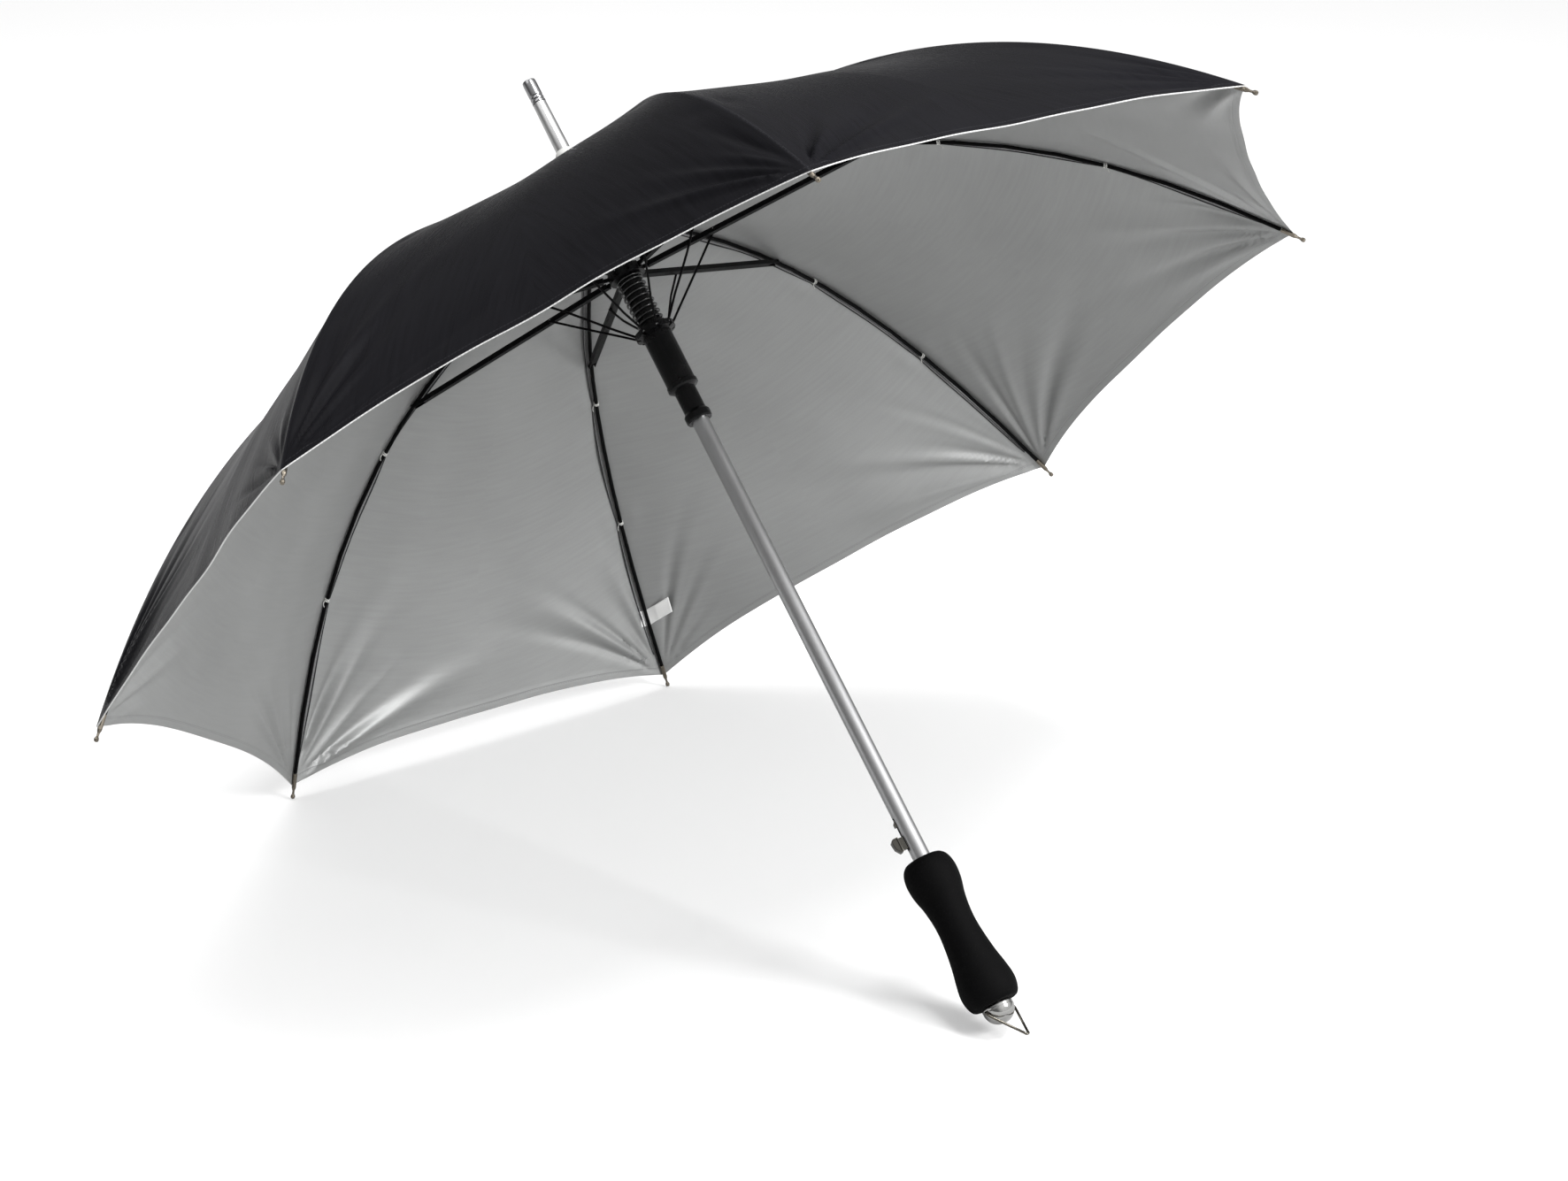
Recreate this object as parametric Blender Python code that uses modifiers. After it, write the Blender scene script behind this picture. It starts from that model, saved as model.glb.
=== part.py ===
"""Automatic stick umbrella with a silver-lined canopy, in its open position.

Frame: +Z runs up the shaft to the ferrule, and the origin is the middle of the
hand grip on the shaft's axis. Rib 1 points along -X and the release button
faces the same way; the ribs are numbered clockwise as seen from the ferrule.
Metres throughout. Each rib, stretcher, wire link and gore is modelled once in
its own plane and then placed eight times round the shaft.
"""

import math

import bmesh
import bpy
from mathutils import Matrix, Vector

# ---------------------------------------------------------------- dimensions
RIBS = 8
Z_RIM = 0.400            # height of the canopy's corners
R_RIM = 0.520            # radius of the canopy's corners

# rib curve: z = Z_TOP - DROP * (r / R_RIM) ** BEND
Z_TOP = Z_RIM + 0.2365
DROP = 0.2345
BEND = 2.75

R_PIVOT = 0.0120         # radius of the crown's and the hub's pivot wires
Z_CROWN = Z_RIM + 0.2325  # crown pivot
R_JOINT = 0.2370         # where the stretcher is riveted to the rib
Z_JOINT = Z_RIM + 0.2085
Z_HUB = 2 * Z_JOINT - Z_CROWN   # equal arms: the hub pivot mirrors the crown's
LINK = 0.0700            # hub pivot to the wire link's rivet
GUIDE = 0.0490           # length of the upper slide's guide tube, below the hub pivot
R_RING = 0.0150          # runner's wire ring
Z_RING = Z_RIM + 0.1304

RIB_R = 0.0017
RIB_END_R = 0.5130       # radius at which the rib runs into its tip sleeve
FABRIC = 0.0008
FABRIC_GAP = 0.0024      # fabric above the rib's centre line
GORE_GAP = 0.00015
HEM_CUT = 0.024          # how far the hem is cut in at mid panel, share of the rib
SAG_HEM = 0.0035         # how far the panel dips below the chord at the hem
SAG_MID = 0.0055         # and half way up the rib

SHAFT_R = 0.0070
SHAFT_WALL = 0.0010
Z_SHAFT_TOP = Z_RIM + 0.2300
Z_SHAFT_END = Z_RIM - 0.4560

Z_FERRULE_TOP = Z_RIM + 0.3690
Z_CAP = Z_RIM + 0.3480
Z_ROSETTE = Z_RIM + 0.2975
Z_CUP_FOOT = Z_RIM + 0.2492

Z_GRIP_TOP = Z_RIM - 0.3423
Z_GRIP_END = Z_RIM - 0.4664
Z_BALL = Z_RIM - 0.4690
BALL_R = 0.0125

BUTTON_SIDE = math.pi    # the button faces -X
Z_BUTTON = Z_RIM - 0.3260
Z_CATCH = Z_RIM - 0.3100

BAIL_SIDE = math.radians(28.0)   # direction of the wire loop's pivot line
BAIL_SWING = math.radians(29.7)  # rest position of the loop
BAIL_LENGTH = 0.0326
BAIL_WIRE = 0.0010

# ---------------------------------------------------------------- scene setup
for old in list(bpy.data.objects):
    bpy.data.objects.remove(old, do_unlink=True)
for old in list(bpy.data.collections):
    bpy.data.collections.remove(old)
PARTS = bpy.data.collections.new("stick_umbrella")
CUTTERS = bpy.data.collections.new("cutters")
bpy.context.scene.collection.children.link(PARTS)
bpy.context.scene.collection.children.link(CUTTERS)


def material(name, colour, roughness, metallic=0.0):
    made = bpy.data.materials.new(name)
    made.use_nodes = True
    shader = made.node_tree.nodes["Principled BSDF"]
    shader.inputs["Base Color"].default_value = (*colour, 1.0)
    shader.inputs["Roughness"].default_value = roughness
    shader.inputs["Metallic"].default_value = metallic
    made.diffuse_color = (*colour, 1.0)
    return made


CLOTH = material("canopy_cloth", (0.020, 0.020, 0.024), 0.55)
BLACK_STEEL = material("black_steel", (0.012, 0.012, 0.013), 0.30, 0.6)
BLACK_PLASTIC = material("black_plastic", (0.012, 0.012, 0.013), 0.35)
ALUMINIUM = material("satin_aluminium", (0.62, 0.62, 0.63), 0.32, 1.0)
CHROME = material("polished_chrome", (0.80, 0.80, 0.82), 0.08, 1.0)
STEEL = material("bright_steel", (0.70, 0.70, 0.70), 0.22, 1.0)
BRASS = material("nickel_brass", (0.62, 0.52, 0.36), 0.28, 1.0)
FOAM = material("grip_foam", (0.014, 0.014, 0.014), 0.85)
PALE = material("pale_plastic", (0.75, 0.75, 0.74), 0.45)
LABEL = material("label_tape", (0.82, 0.82, 0.81), 0.70)


# -------------------------------------------------------------------- helpers
def add(name, data, mat, collection=PARTS):
    made = bpy.data.objects.new(name, data)
    collection.objects.link(made)
    if mat is not None and not data.materials:
        data.materials.append(mat)
    return made


def finish(mesh, angle=35.0):
    mesh.shade_smooth()
    mesh.set_sharp_from_angle(angle=math.radians(angle))


def mesh_from(name, work):
    mesh = bpy.data.meshes.new(name)
    work.to_mesh(mesh)
    work.free()
    return mesh


def box_mesh(name, low, high):
    work = bmesh.new()
    bmesh.ops.create_cube(work, size=1.0)
    for v in work.verts:
        v.co = Vector([a + (b - a) * (c + 0.5) for a, b, c in zip(low, high, v.co)])
    return mesh_from(name, work)


def rod_mesh(name, start, end, radius, sides=10):
    """A plain round rod between two points."""
    a, b = Vector(start), Vector(end)
    work = bmesh.new()
    bmesh.ops.create_cone(work, cap_ends=True, segments=sides, radius1=radius,
                          radius2=radius, depth=(b - a).length)
    turn = (b - a).to_track_quat("Z", "Y").to_matrix().to_4x4()
    bmesh.ops.transform(work, matrix=Matrix.Translation((a + b) / 2) @ turn, verts=work.verts)
    return mesh_from(name, work)


def cutter(mesh):
    made = add(mesh.name, mesh, None, CUTTERS)
    made.hide_render = True
    made.display_type = "WIRE"
    return made


def boolean(obj, mesh_or_obj, operation):
    other = mesh_or_obj if isinstance(mesh_or_obj, bpy.types.Object) else cutter(mesh_or_obj)
    step = obj.modifiers.new(operation.lower(), "BOOLEAN")
    step.operation = operation
    step.solver = "EXACT"
    step.object = other
    return step


def baked(obj):
    """The object's evaluated mesh; the working object goes away."""
    bpy.context.view_layer.update()
    graph = bpy.context.evaluated_depsgraph_get()
    mesh = bpy.data.meshes.new_from_object(obj.evaluated_get(graph))
    bpy.data.objects.remove(obj, do_unlink=True)
    work = bmesh.new()
    work.from_mesh(mesh)
    bmesh.ops.remove_doubles(work, verts=work.verts, dist=1e-6)
    work.to_mesh(mesh)
    work.free()
    finish(mesh)
    return mesh


def turned(name, mat, profile, steps=24, closed=True):
    """A turned piece. The profile starts at the top of its outer side and runs down."""
    mesh = bpy.data.meshes.new(name)
    count = len(profile)
    edges = [(i, i + 1) for i in range(count - 1)] + ([(count - 1, 0)] if closed else [])
    mesh.from_pydata([(r, 0.0, z) for r, z in profile], edges, [])
    made = add(name, mesh, mat)
    screw = made.modifiers.new("turn", "SCREW")
    screw.axis = "Z"
    screw.angle = math.tau
    screw.steps = screw.render_steps = steps
    screw.use_merge_vertices = True
    screw.merge_threshold = 1e-5
    screw.use_smooth_shade = True
    return made


def wire_curve(name, mat, points, radius, resolution=2, cyclic=False, collection=PARTS):
    curve = bpy.data.curves.new(name, "CURVE")
    curve.dimensions = "3D"
    spline = curve.splines.new("POLY")
    spline.points.add(len(points) - 1)
    for p, co in zip(spline.points, points):
        p.co = (*co, 1.0)
    spline.use_cyclic_u = cyclic
    curve.bevel_depth = radius
    curve.bevel_resolution = resolution
    curve.use_fill_caps = not cyclic
    return add(name, curve, mat, collection)


def curve_to_mesh(obj):
    bpy.context.view_layer.update()
    graph = bpy.context.evaluated_depsgraph_get()
    mesh = bpy.data.meshes.new_from_object(obj.evaluated_get(graph))
    bpy.data.objects.remove(obj, do_unlink=True)
    work = bmesh.new()
    work.from_mesh(mesh)
    bmesh.ops.remove_doubles(work, verts=work.verts, dist=1e-6)
    bmesh.ops.recalc_face_normals(work, faces=work.faces)
    work.to_mesh(mesh)
    work.free()
    return mesh


def outline_mesh(name, outline, half_width):
    """An outline in the XZ plane, as thick as half_width to each side of it."""
    curve = bpy.data.curves.new(name, "CURVE")
    curve.dimensions = "2D"
    curve.fill_mode = "BOTH"
    curve.extrude = half_width
    spline = curve.splines.new("POLY")
    spline.points.add(len(outline) - 1)
    for p, (x, z) in zip(spline.points, outline):
        p.co = (x, z, 0.0, 1.0)
    spline.use_cyclic_u = True
    mesh = curve_to_mesh(add(name, curve, None, CUTTERS))
    mesh.transform(Matrix.Rotation(math.pi / 2, 4, "X"))
    return mesh


def ring(name, mat, radius, wire, z, around=32):
    points = [(radius * math.cos(math.tau * i / around),
               radius * math.sin(math.tau * i / around), 0.0) for i in range(around)]
    made = wire_curve(name, mat, points, wire, 1, True)
    made.location = (0, 0, z)
    return made


def azimuth(number):
    return math.pi - math.tau * (number - 1) / RIBS


def radial_cutter(name, low_r, high_r, half_width, low_z, high_z):
    """Eight radial slots as one cutter, its boxes kept apart."""
    work = bmesh.new()
    for number in range(1, RIBS + 1):
        made = bmesh.ops.create_cube(work, size=1.0)["verts"]
        turn = Matrix.Rotation(azimuth(number), 4, "Z")
        for v in made:
            v.co = turn @ Vector((low_r + (high_r - low_r) * (v.co.x + 0.5),
                                  half_width * 2 * v.co.y,
                                  low_z + (high_z - low_z) * (v.co.z + 0.5)))
    return mesh_from(name, work)


def rib_z(r):
    return Z_TOP - DROP * (r / R_RIM) ** BEND


def rib_slope(r):
    return -DROP * BEND / R_RIM * (r / R_RIM) ** (BEND - 1)


def place_all(stem, mesh, mat, radius, z):
    """Eight copies with their origins on the pivot at this radius and height."""
    mesh.materials.clear()
    mesh.materials.append(mat)
    for number in range(1, RIBS + 1):
        made = add(f"{stem}_{number}", mesh, mat)
        a = azimuth(number)
        made.location = (radius * math.cos(a), radius * math.sin(a), z)
        made.rotation_euler = (0, 0, a)


def stations():
    """Radii shared by the rib's and the fabric's rings, closer together where the curve is tighter."""
    start, count = 0.0165, 13
    return [start + (RIB_END_R - start) * (i / (count - 1)) ** 0.82 for i in range(count)]


# ------------------------------------------------------------------------ rib
def make_ribs():
    path = [(r - R_PIVOT, 0.0, rib_z(r) - Z_CROWN) for r in stations()]
    body = add("rib_work", curve_to_mesh(wire_curve("rib_path", None, path, RIB_R, 2)), BLACK_STEEL)
    # flat eye that drops from the rib's end to the crown's wire
    eye = add("rib_eye", rod_mesh("rib_eye", (0, -0.0009, 0), (0, 0.0009, 0), 0.0020, 12), None, CUTTERS)
    boolean(body, box_mesh("rib_neck", (-0.0005, -0.0009, -0.0012), (0.0072, 0.0009, 0.0014)), "UNION")
    boolean(body, box_mesh("rib_heel", (0.0040, -0.0009, -0.0010), (0.0070, 0.0009, 0.0044)), "UNION")
    boolean(body, eye, "UNION")
    boolean(body, rod_mesh("rib_eye_hole", (0, -0.002, 0), (0, 0.002, 0), 0.0010, 10), "DIFFERENCE")
    x, z = R_JOINT - R_PIVOT, Z_JOINT - Z_CROWN
    boolean(body, rod_mesh("rib_rivet_hole", (x, -0.003, z), (x, 0.003, z), 0.00105, 10), "DIFFERENCE")
    eye.hide_render = True
    eye.display_type = "WIRE"
    place_all("rib", baked(body), BLACK_STEEL, R_PIVOT, Z_CROWN)


# ------------------------------------------------------------- rib tip sleeve
def make_tips():
    """Metal sleeve on the rib's end with a ball-ended pin, turned about its own axis."""
    profile = [(0.0, 0.0000), (0.0019, 0.0002), (0.0019, 0.0120), (0.0015, 0.0135),
               (0.0010, 0.0150), (0.0010, 0.0176), (0.0017, 0.0188), (0.0020, 0.0202),
               (0.0015, 0.0216), (0.0, 0.0222)]
    flipped = [(r, -z) for r, z in profile]
    work = turned("tip_work", BRASS, flipped, 10, closed=False)
    mesh = baked(work)
    slope = rib_slope(RIB_END_R)
    along = Vector((1, 0, slope)).normalized()
    turn = along.to_track_quat("Z", "Y").to_matrix().to_4x4() @ Matrix.Rotation(math.pi, 4, "X")
    start = Vector((RIB_END_R - R_PIVOT, 0, rib_z(RIB_END_R) - Z_CROWN)) + along * 0.0003
    mesh.transform(Matrix.Translation(start) @ turn)
    place_all("rib_tip", mesh, BRASS, R_PIVOT, Z_CROWN)


# ------------------------------------------------------------------ stretcher
def arm_angle():
    return math.atan2(Z_JOINT - Z_HUB, R_JOINT - R_PIVOT)


ARM = math.hypot(Z_JOINT - Z_HUB, R_JOINT - R_PIVOT)


def make_stretchers():
    """Pressed channel, open upwards: a tongue in the hub, a fork on the rib. x runs out from the hub pivot."""
    low, high, half, wall = -0.0022, 0.0018, 0.0029, 0.0006
    body = add("stretcher_work", box_mesh("stretcher_bar", (0.0075, -half, low), (ARM + 0.0024, half, high)), BLACK_STEEL)
    boolean(body, box_mesh("stretcher_groove", (0.0068, -half + wall, low + wall), (ARM + 0.004, half - wall, high + 0.001)), "DIFFERENCE")
    boolean(body, box_mesh("stretcher_fork", (ARM - 0.0105, -half + wall, low - 0.001), (ARM + 0.005, half - wall, high)), "DIFFERENCE")
    boolean(body, box_mesh("stretcher_relief", (ARM - 0.0140, -0.004, 0.0010), (ARM + 0.006, 0.004, 0.004)), "DIFFERENCE")
    boolean(body, box_mesh("stretcher_tongue", (0.0, -0.0008, -0.0017), (0.0160, 0.0008, 0.0013)), "UNION")
    boolean(body, rod_mesh("stretcher_eye", (0, -0.0008, 0), (0, 0.0008, 0), 0.0019, 12), "UNION")
    boolean(body, rod_mesh("stretcher_eye_hole", (0, -0.002, 0), (0, 0.002, 0), 0.0010, 10), "DIFFERENCE")
    boolean(body, rod_mesh("stretcher_link_hole", (LINK, -0.004, 0), (LINK, 0.004, 0), 0.0013, 10), "DIFFERENCE")
    boolean(body, rod_mesh("stretcher_rivet", (ARM, -half - 0.0006, 0), (ARM, half + 0.0006, 0), 0.0007, 10), "UNION")
    mesh = baked(body)
    mesh.transform(Matrix.Rotation(-arm_angle(), 4, "Y"))
    place_all("stretcher", mesh, BLACK_STEEL, R_PIVOT, Z_HUB)


# ------------------------------------------------------------------ wire link
def make_wires():
    """Thin link, hooked through the stretcher's channel and running down to the runner's ring. Origin at the hook."""
    angle = arm_angle()
    rivet = Vector((R_PIVOT + LINK * math.cos(angle), 0, Z_HUB + LINK * math.sin(angle)))
    end = Vector((R_RING, 0, Z_RING)) - rivet
    length, side = end.length, 0.0043
    way = end.normalized()
    inner = way * (length - 0.0019)
    points = [(0, -0.0040, 0), (0, side - 0.0008, 0), (*(way * 0.0009).xz[:1], side, (way * 0.0009).z)]
    points += [((way * d).x, s, (way * d).z) for d, s in ((0.034, side), (0.052, side * 0.6), (0.068, side * 0.15))]
    points.append((inner.x, 0, inner.z))
    mesh = curve_to_mesh(wire_curve("wire_path", None, points, 0.0010, 1))
    finish(mesh)
    place_all("wire_link", mesh, BLACK_STEEL, rivet.x, rivet.z)


# --------------------------------------------------------------------- canopy
def canopy_point(share, side):
    """A point of the canopy by its share of the rib and its place between this rib (0) and mid panel (+-1).

    Fabric in tension runs straight from rib to rib, so a panel follows the chord
    between equal points of two ribs and dips slightly inwards. The hem is cut in
    an arc between the corners.
    """
    half = math.pi / RIBS
    t = abs(side)
    r = R_RIM * share * (1.0 - HEM_CUT * (1.0 - (1.0 - t) ** 2.9) * share ** 3)
    x = r * (1.0 - math.sin(half) ** 2 * t)
    y = r * math.sin(half) * math.cos(half) * side
    ease = 1.0 - (1.0 - t) ** 2
    z = rib_z(r) - ease * (SAG_HEM * share ** 2 + 4.0 * SAG_MID * share * (1.0 - share))
    peak = 0.010 * max(0.0, 1.0 - r / 0.040) ** 2
    slope, turn = rib_slope(r), math.atan2(y, x)
    normal = Vector((-slope * math.cos(turn), -slope * math.sin(turn), 1)).normalized()
    return Vector((x, y, z + peak)) + normal * FABRIC_GAP


def make_gores():
    rows = [0.0200] + [r / R_RIM for r in stations()] + [1.0]
    across = [-1.0, -0.62, -0.28, 0.0, 0.28, 0.62, 1.0]
    work = bmesh.new()
    grid = []
    for share in rows:
        line = []
        for side in across:
            p = canopy_point(share, side)
            if abs(side) == 1.0:
                # a hair's clearance from the neighbouring gore's edge
                normal = Vector((math.sin(math.pi / RIBS), -math.copysign(math.cos(math.pi / RIBS), side), 0))
                p += normal * GORE_GAP
            line.append(work.verts.new((p.x - R_PIVOT, p.y, p.z - Z_CROWN)))
        grid.append(line)
    for a, b in zip(grid, grid[1:]):
        for i in range(len(across) - 1):
            work.faces.new((a[i], b[i], b[i + 1], a[i + 1]))
    bmesh.ops.recalc_face_normals(work, faces=work.faces)
    if sum(f.normal.z for f in work.faces) < 0:
        bmesh.ops.reverse_faces(work, faces=work.faces)
    sheet = mesh_from("gore_sheet", work)
    body = add("gore_work", sheet, CLOTH)
    shell = body.modifiers.new("thickness", "SOLIDIFY")
    shell.thickness = FABRIC
    shell.offset = 1.0
    place_all("canopy_gore", baked(body), CLOTH, R_PIVOT, Z_CROWN)


# --------------------------------------------------- crown, hub, runner, wires
def notched(name, mat, pivot_r, pivot_z, outer, bore, top, bottom, open_side, slot, extra=(), slot_low=None, slot_high=None):
    """Turned notch ring: an annular groove for the pivot wire and eight radial slots."""
    groove_in, groove_out = pivot_r - 0.0024, pivot_r + 0.0009
    floor = 0.0010
    if open_side == "up":
        profile = [(outer, top), (outer, bottom), *extra, (bore, bottom if not extra else extra[-1][1]),
                   (bore, top), (groove_in, top), (groove_in, pivot_z - floor), (groove_out, pivot_z - floor), (groove_out, top)]
    else:
        profile = [(outer, top), (outer, bottom), (groove_out, bottom), (groove_out, pivot_z + floor),
                   (groove_in, pivot_z + floor), (groove_in, bottom), (bore, bottom), (bore, top)]
    made = turned(name, mat, profile, 32)
    boolean(made, radial_cutter(name + "_slots", groove_in + 0.0001, outer + 0.003, slot,
                                slot_low, slot_high), "DIFFERENCE")
    return made


def make_fittings():
    # crown: fixed notch at the head of the shaft, groove open downwards
    notched("crown", BLACK_PLASTIC, R_PIVOT, Z_CROWN, 0.0150, SHAFT_R + 0.0003,
            Z_CROWN + 0.0052, Z_CROWN - 0.0030, "down", 0.0014,
            slot_low=Z_CROWN - 0.0060, slot_high=Z_CROWN + 0.0036)
    ring("crown_wire", STEEL, R_PIVOT, 0.00055, Z_CROWN)
    # hub: the upper slide, groove open upwards, with a guide tube that runs inside the spring into the runner
    notched("upper_slide", BLACK_PLASTIC, R_PIVOT, Z_HUB, 0.0150, SHAFT_R + 0.0004,
            Z_HUB + 0.0030, Z_HUB - 0.0045, "up", 0.0012,
            extra=((0.0090, Z_HUB - 0.0045), (0.0090, Z_HUB - GUIDE)),
            slot_low=Z_HUB - 0.0026, slot_high=Z_HUB + 0.0060)
    ring("upper_slide_wire", STEEL, R_PIVOT, 0.00055, Z_HUB)
    # runner: flange with the link ring, wide barrel, neck and flared foot
    top = Z_RING + 0.0022
    barrel = 0.0120
    profile = [(0.0168, top - 0.0004), (0.0168, Z_RING - 0.0028), (barrel, Z_RING - 0.0040),
               (barrel, Z_RIM + 0.0820), (0.0128, Z_RIM + 0.0812), (0.0128, Z_RIM + 0.0778), (0.0112, Z_RIM + 0.0765),
               (0.0090, Z_RIM + 0.0755), (0.0090, Z_RIM + 0.0560), (0.0108, Z_RIM + 0.0535),
               (0.0108, Z_RIM + 0.0485), (0.0100, Z_RIM + 0.0471), (SHAFT_R + 0.0004, Z_RIM + 0.0471),
               (SHAFT_R + 0.0004, Z_RING - 0.0340), (0.0094, Z_RING - 0.0345), (0.0094, Z_RING + 0.0060), (0.0105, Z_RING + 0.0060), (0.0112, top),
               (R_RING - 0.0018, top), (R_RING - 0.0018, Z_RING - 0.0010), (R_RING + 0.0009, Z_RING - 0.0010), (R_RING + 0.0009, top - 0.0004)]
    runner = turned("runner", BLACK_PLASTIC, profile, 28)
    boolean(runner, radial_cutter("runner_slots", R_RING - 0.0017, 0.0200, 0.0012, Z_RING - 0.0060, Z_RING + 0.0060), "DIFFERENCE")
    ring("runner_wire", STEEL, R_RING, 0.00055, Z_RING)
    # opening spring between the upper slide and the runner
    low, high, turns, per_turn = Z_RING + 0.0073, Z_HUB - 0.0057, 9, 12
    count = turns * per_turn
    points = []
    for i in range(count + 1):
        s = i / count
        # dead coils at both ends
        rise = min(max((s - 0.10) / 0.80, 0.0), 1.0)
        lead = 0.0019 * (min(s, 0.10) / 0.10 + max(s - 0.90, 0.0) / 0.10)
        a = math.tau * turns * s
        z = low + lead + (high - low - 0.0038) * rise
        points.append((0.0098 * math.cos(a) * 1.07, 0.0098 * math.sin(a) * 1.07, z))
    wire_curve("opening_spring", BLACK_STEEL, points, 0.00075, 0)


# --------------------------------------------------------------- shaft pieces
def make_shaft():
    r, wall = SHAFT_R, SHAFT_WALL
    z1 = Z_CROWN + 0.0055
    tube = turned("shaft_tube", ALUMINIUM, [(r, z1), (r, Z_SHAFT_END), (r - wall, Z_SHAFT_END), (r - wall, z1)], 24)
    slot = box_mesh("shaft_slot", (-0.0100, -0.0023, Z_BUTTON - 0.0085), (-0.0030, 0.0023, Z_CATCH + 0.0060))
    boolean(tube, slot, "DIFFERENCE")
    ferrule = turned("ferrule_tube", ALUMINIUM,
                     [(0.0, Z_CAP - 0.0003), (0.0056, Z_CAP - 0.0003), (0.0061, Z_CAP - 0.040), (0.0062, z1 + 0.0003), (0.0, z1 + 0.0003)], 20, closed=False)
    cap_top = Z_FERRULE_TOP
    turned("ferrule_cap", CHROME,
           [(0.0, cap_top), (0.0050, cap_top), (0.0055, cap_top - 0.0006), (0.0057, cap_top - 0.0030),
            (0.0057, Z_CAP + 0.0062), (0.0052, Z_CAP + 0.0058), (0.0052, Z_CAP + 0.0052), (0.0057, Z_CAP + 0.0048),
            (0.0057, Z_CAP + 0.0030), (0.0052, Z_CAP + 0.0026), (0.0052, Z_CAP + 0.0020), (0.0057, Z_CAP + 0.0016),
            (0.0058, Z_CAP), (0.0, Z_CAP)], 20, closed=False)
    # flared cup that slips over the ferrule and stands on the gathered cloth
    cup = [(0.0068, Z_ROSETTE + 0.0040), (0.0080, Z_ROSETTE + 0.0022), (0.0092, Z_ROSETTE - 0.0010), (0.0098, Z_ROSETTE - 0.0075),
           (0.0104, Z_ROSETTE - 0.0220), (0.0113, Z_ROSETTE - 0.0360), (0.0130, Z_ROSETTE - 0.0455), (0.0134, Z_CUP_FOOT)]
    turned("rosette_cup", PALE, cup + [(0.0120, Z_CUP_FOOT), (0.0100, Z_ROSETTE - 0.0360), (0.0066, Z_ROSETTE - 0.0300)], 24)


def make_handle():
    top, end = Z_GRIP_TOP, Z_GRIP_END
    bore = SHAFT_R + 0.0003
    outer = [(0.0100, 0.0000), (0.0152, 0.0012), (0.0184, 0.0050), (0.0202, 0.0110), (0.0207, 0.0180),
             (0.0197, 0.0275), (0.0173, 0.0375), (0.0157, 0.0490), (0.0153, 0.0605), (0.0163, 0.0735),
             (0.0182, 0.0875), (0.0205, 0.0990), (0.0221, 0.1090), (0.0220, 0.1160), (0.0202, 0.1225), (0.0160, 0.1268)]
    length = top - end
    profile = [(r, top - s * length / 0.127) for r, s in outer]
    turned("hand_grip", FOAM, profile + [(bore, end + 0.0002), (bore, top)], 28)
    # ball end: sphere with a flat pad below and a spigot that plugs the shaft
    points = []
    steps = 12
    hidden = math.acos(min(1.0, (end - 0.0006 - Z_BALL) / BALL_R))
    for i in range(steps + 1):
        a = hidden + (math.radians(160) - hidden) * i / steps
        points.append((BALL_R * math.sin(a), Z_BALL + BALL_R * math.cos(a)))
    spigot = SHAFT_R - SHAFT_WALL - 0.0003
    head = points[0][1]
    # the grip's open end clears the ball's shoulder
    profile = [(0.0, Z_SHAFT_END + 0.012), (spigot, Z_SHAFT_END + 0.012), (spigot, Z_SHAFT_END - 0.0003), (spigot, head)]
    profile += points
    profile += [(0.0, points[-1][1])]
    ball = turned("ball_end", STEEL, profile, 24, closed=False)
    side = Vector((math.cos(BAIL_SIDE), math.sin(BAIL_SIDE), 0))
    hole = rod_mesh("bail_hole", Vector((0, 0, Z_BALL)) + side * -0.020, Vector((0, 0, Z_BALL)) + side * 0.020, BAIL_WIRE + 0.0004, 12)
    boolean(ball, hole, "DIFFERENCE")
    # wire loop: both ends turned into the ball's cross hole
    down = Vector((0, 0, -1))
    out = Vector((math.sin(BAIL_SIDE), -math.cos(BAIL_SIDE), 0))
    way = (down * math.cos(BAIL_SWING) + out * math.sin(BAIL_SWING)).normalized()
    half = BALL_R + 0.0016
    left = [side * -0.0080, side * -(half - 0.0010), side * -half + way * 0.0012, side * -(half - 0.0012) + way * 0.0060]
    tip = []
    for i in range(7):
        a = math.pi * i / 6
        tip.append(side * (-0.0018 * math.cos(a)) + way * (BAIL_LENGTH - 0.0018 + 0.0018 * math.sin(a)))
    right = [Vector(p) for p in reversed(left)]
    right = [p - 2 * side * p.dot(side) for p in right]
    path = left + tip + right
    bail = wire_curve("wire_loop", STEEL, path, BAIL_WIRE, 2)
    bail.location = (0, 0, Z_BALL)


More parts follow.
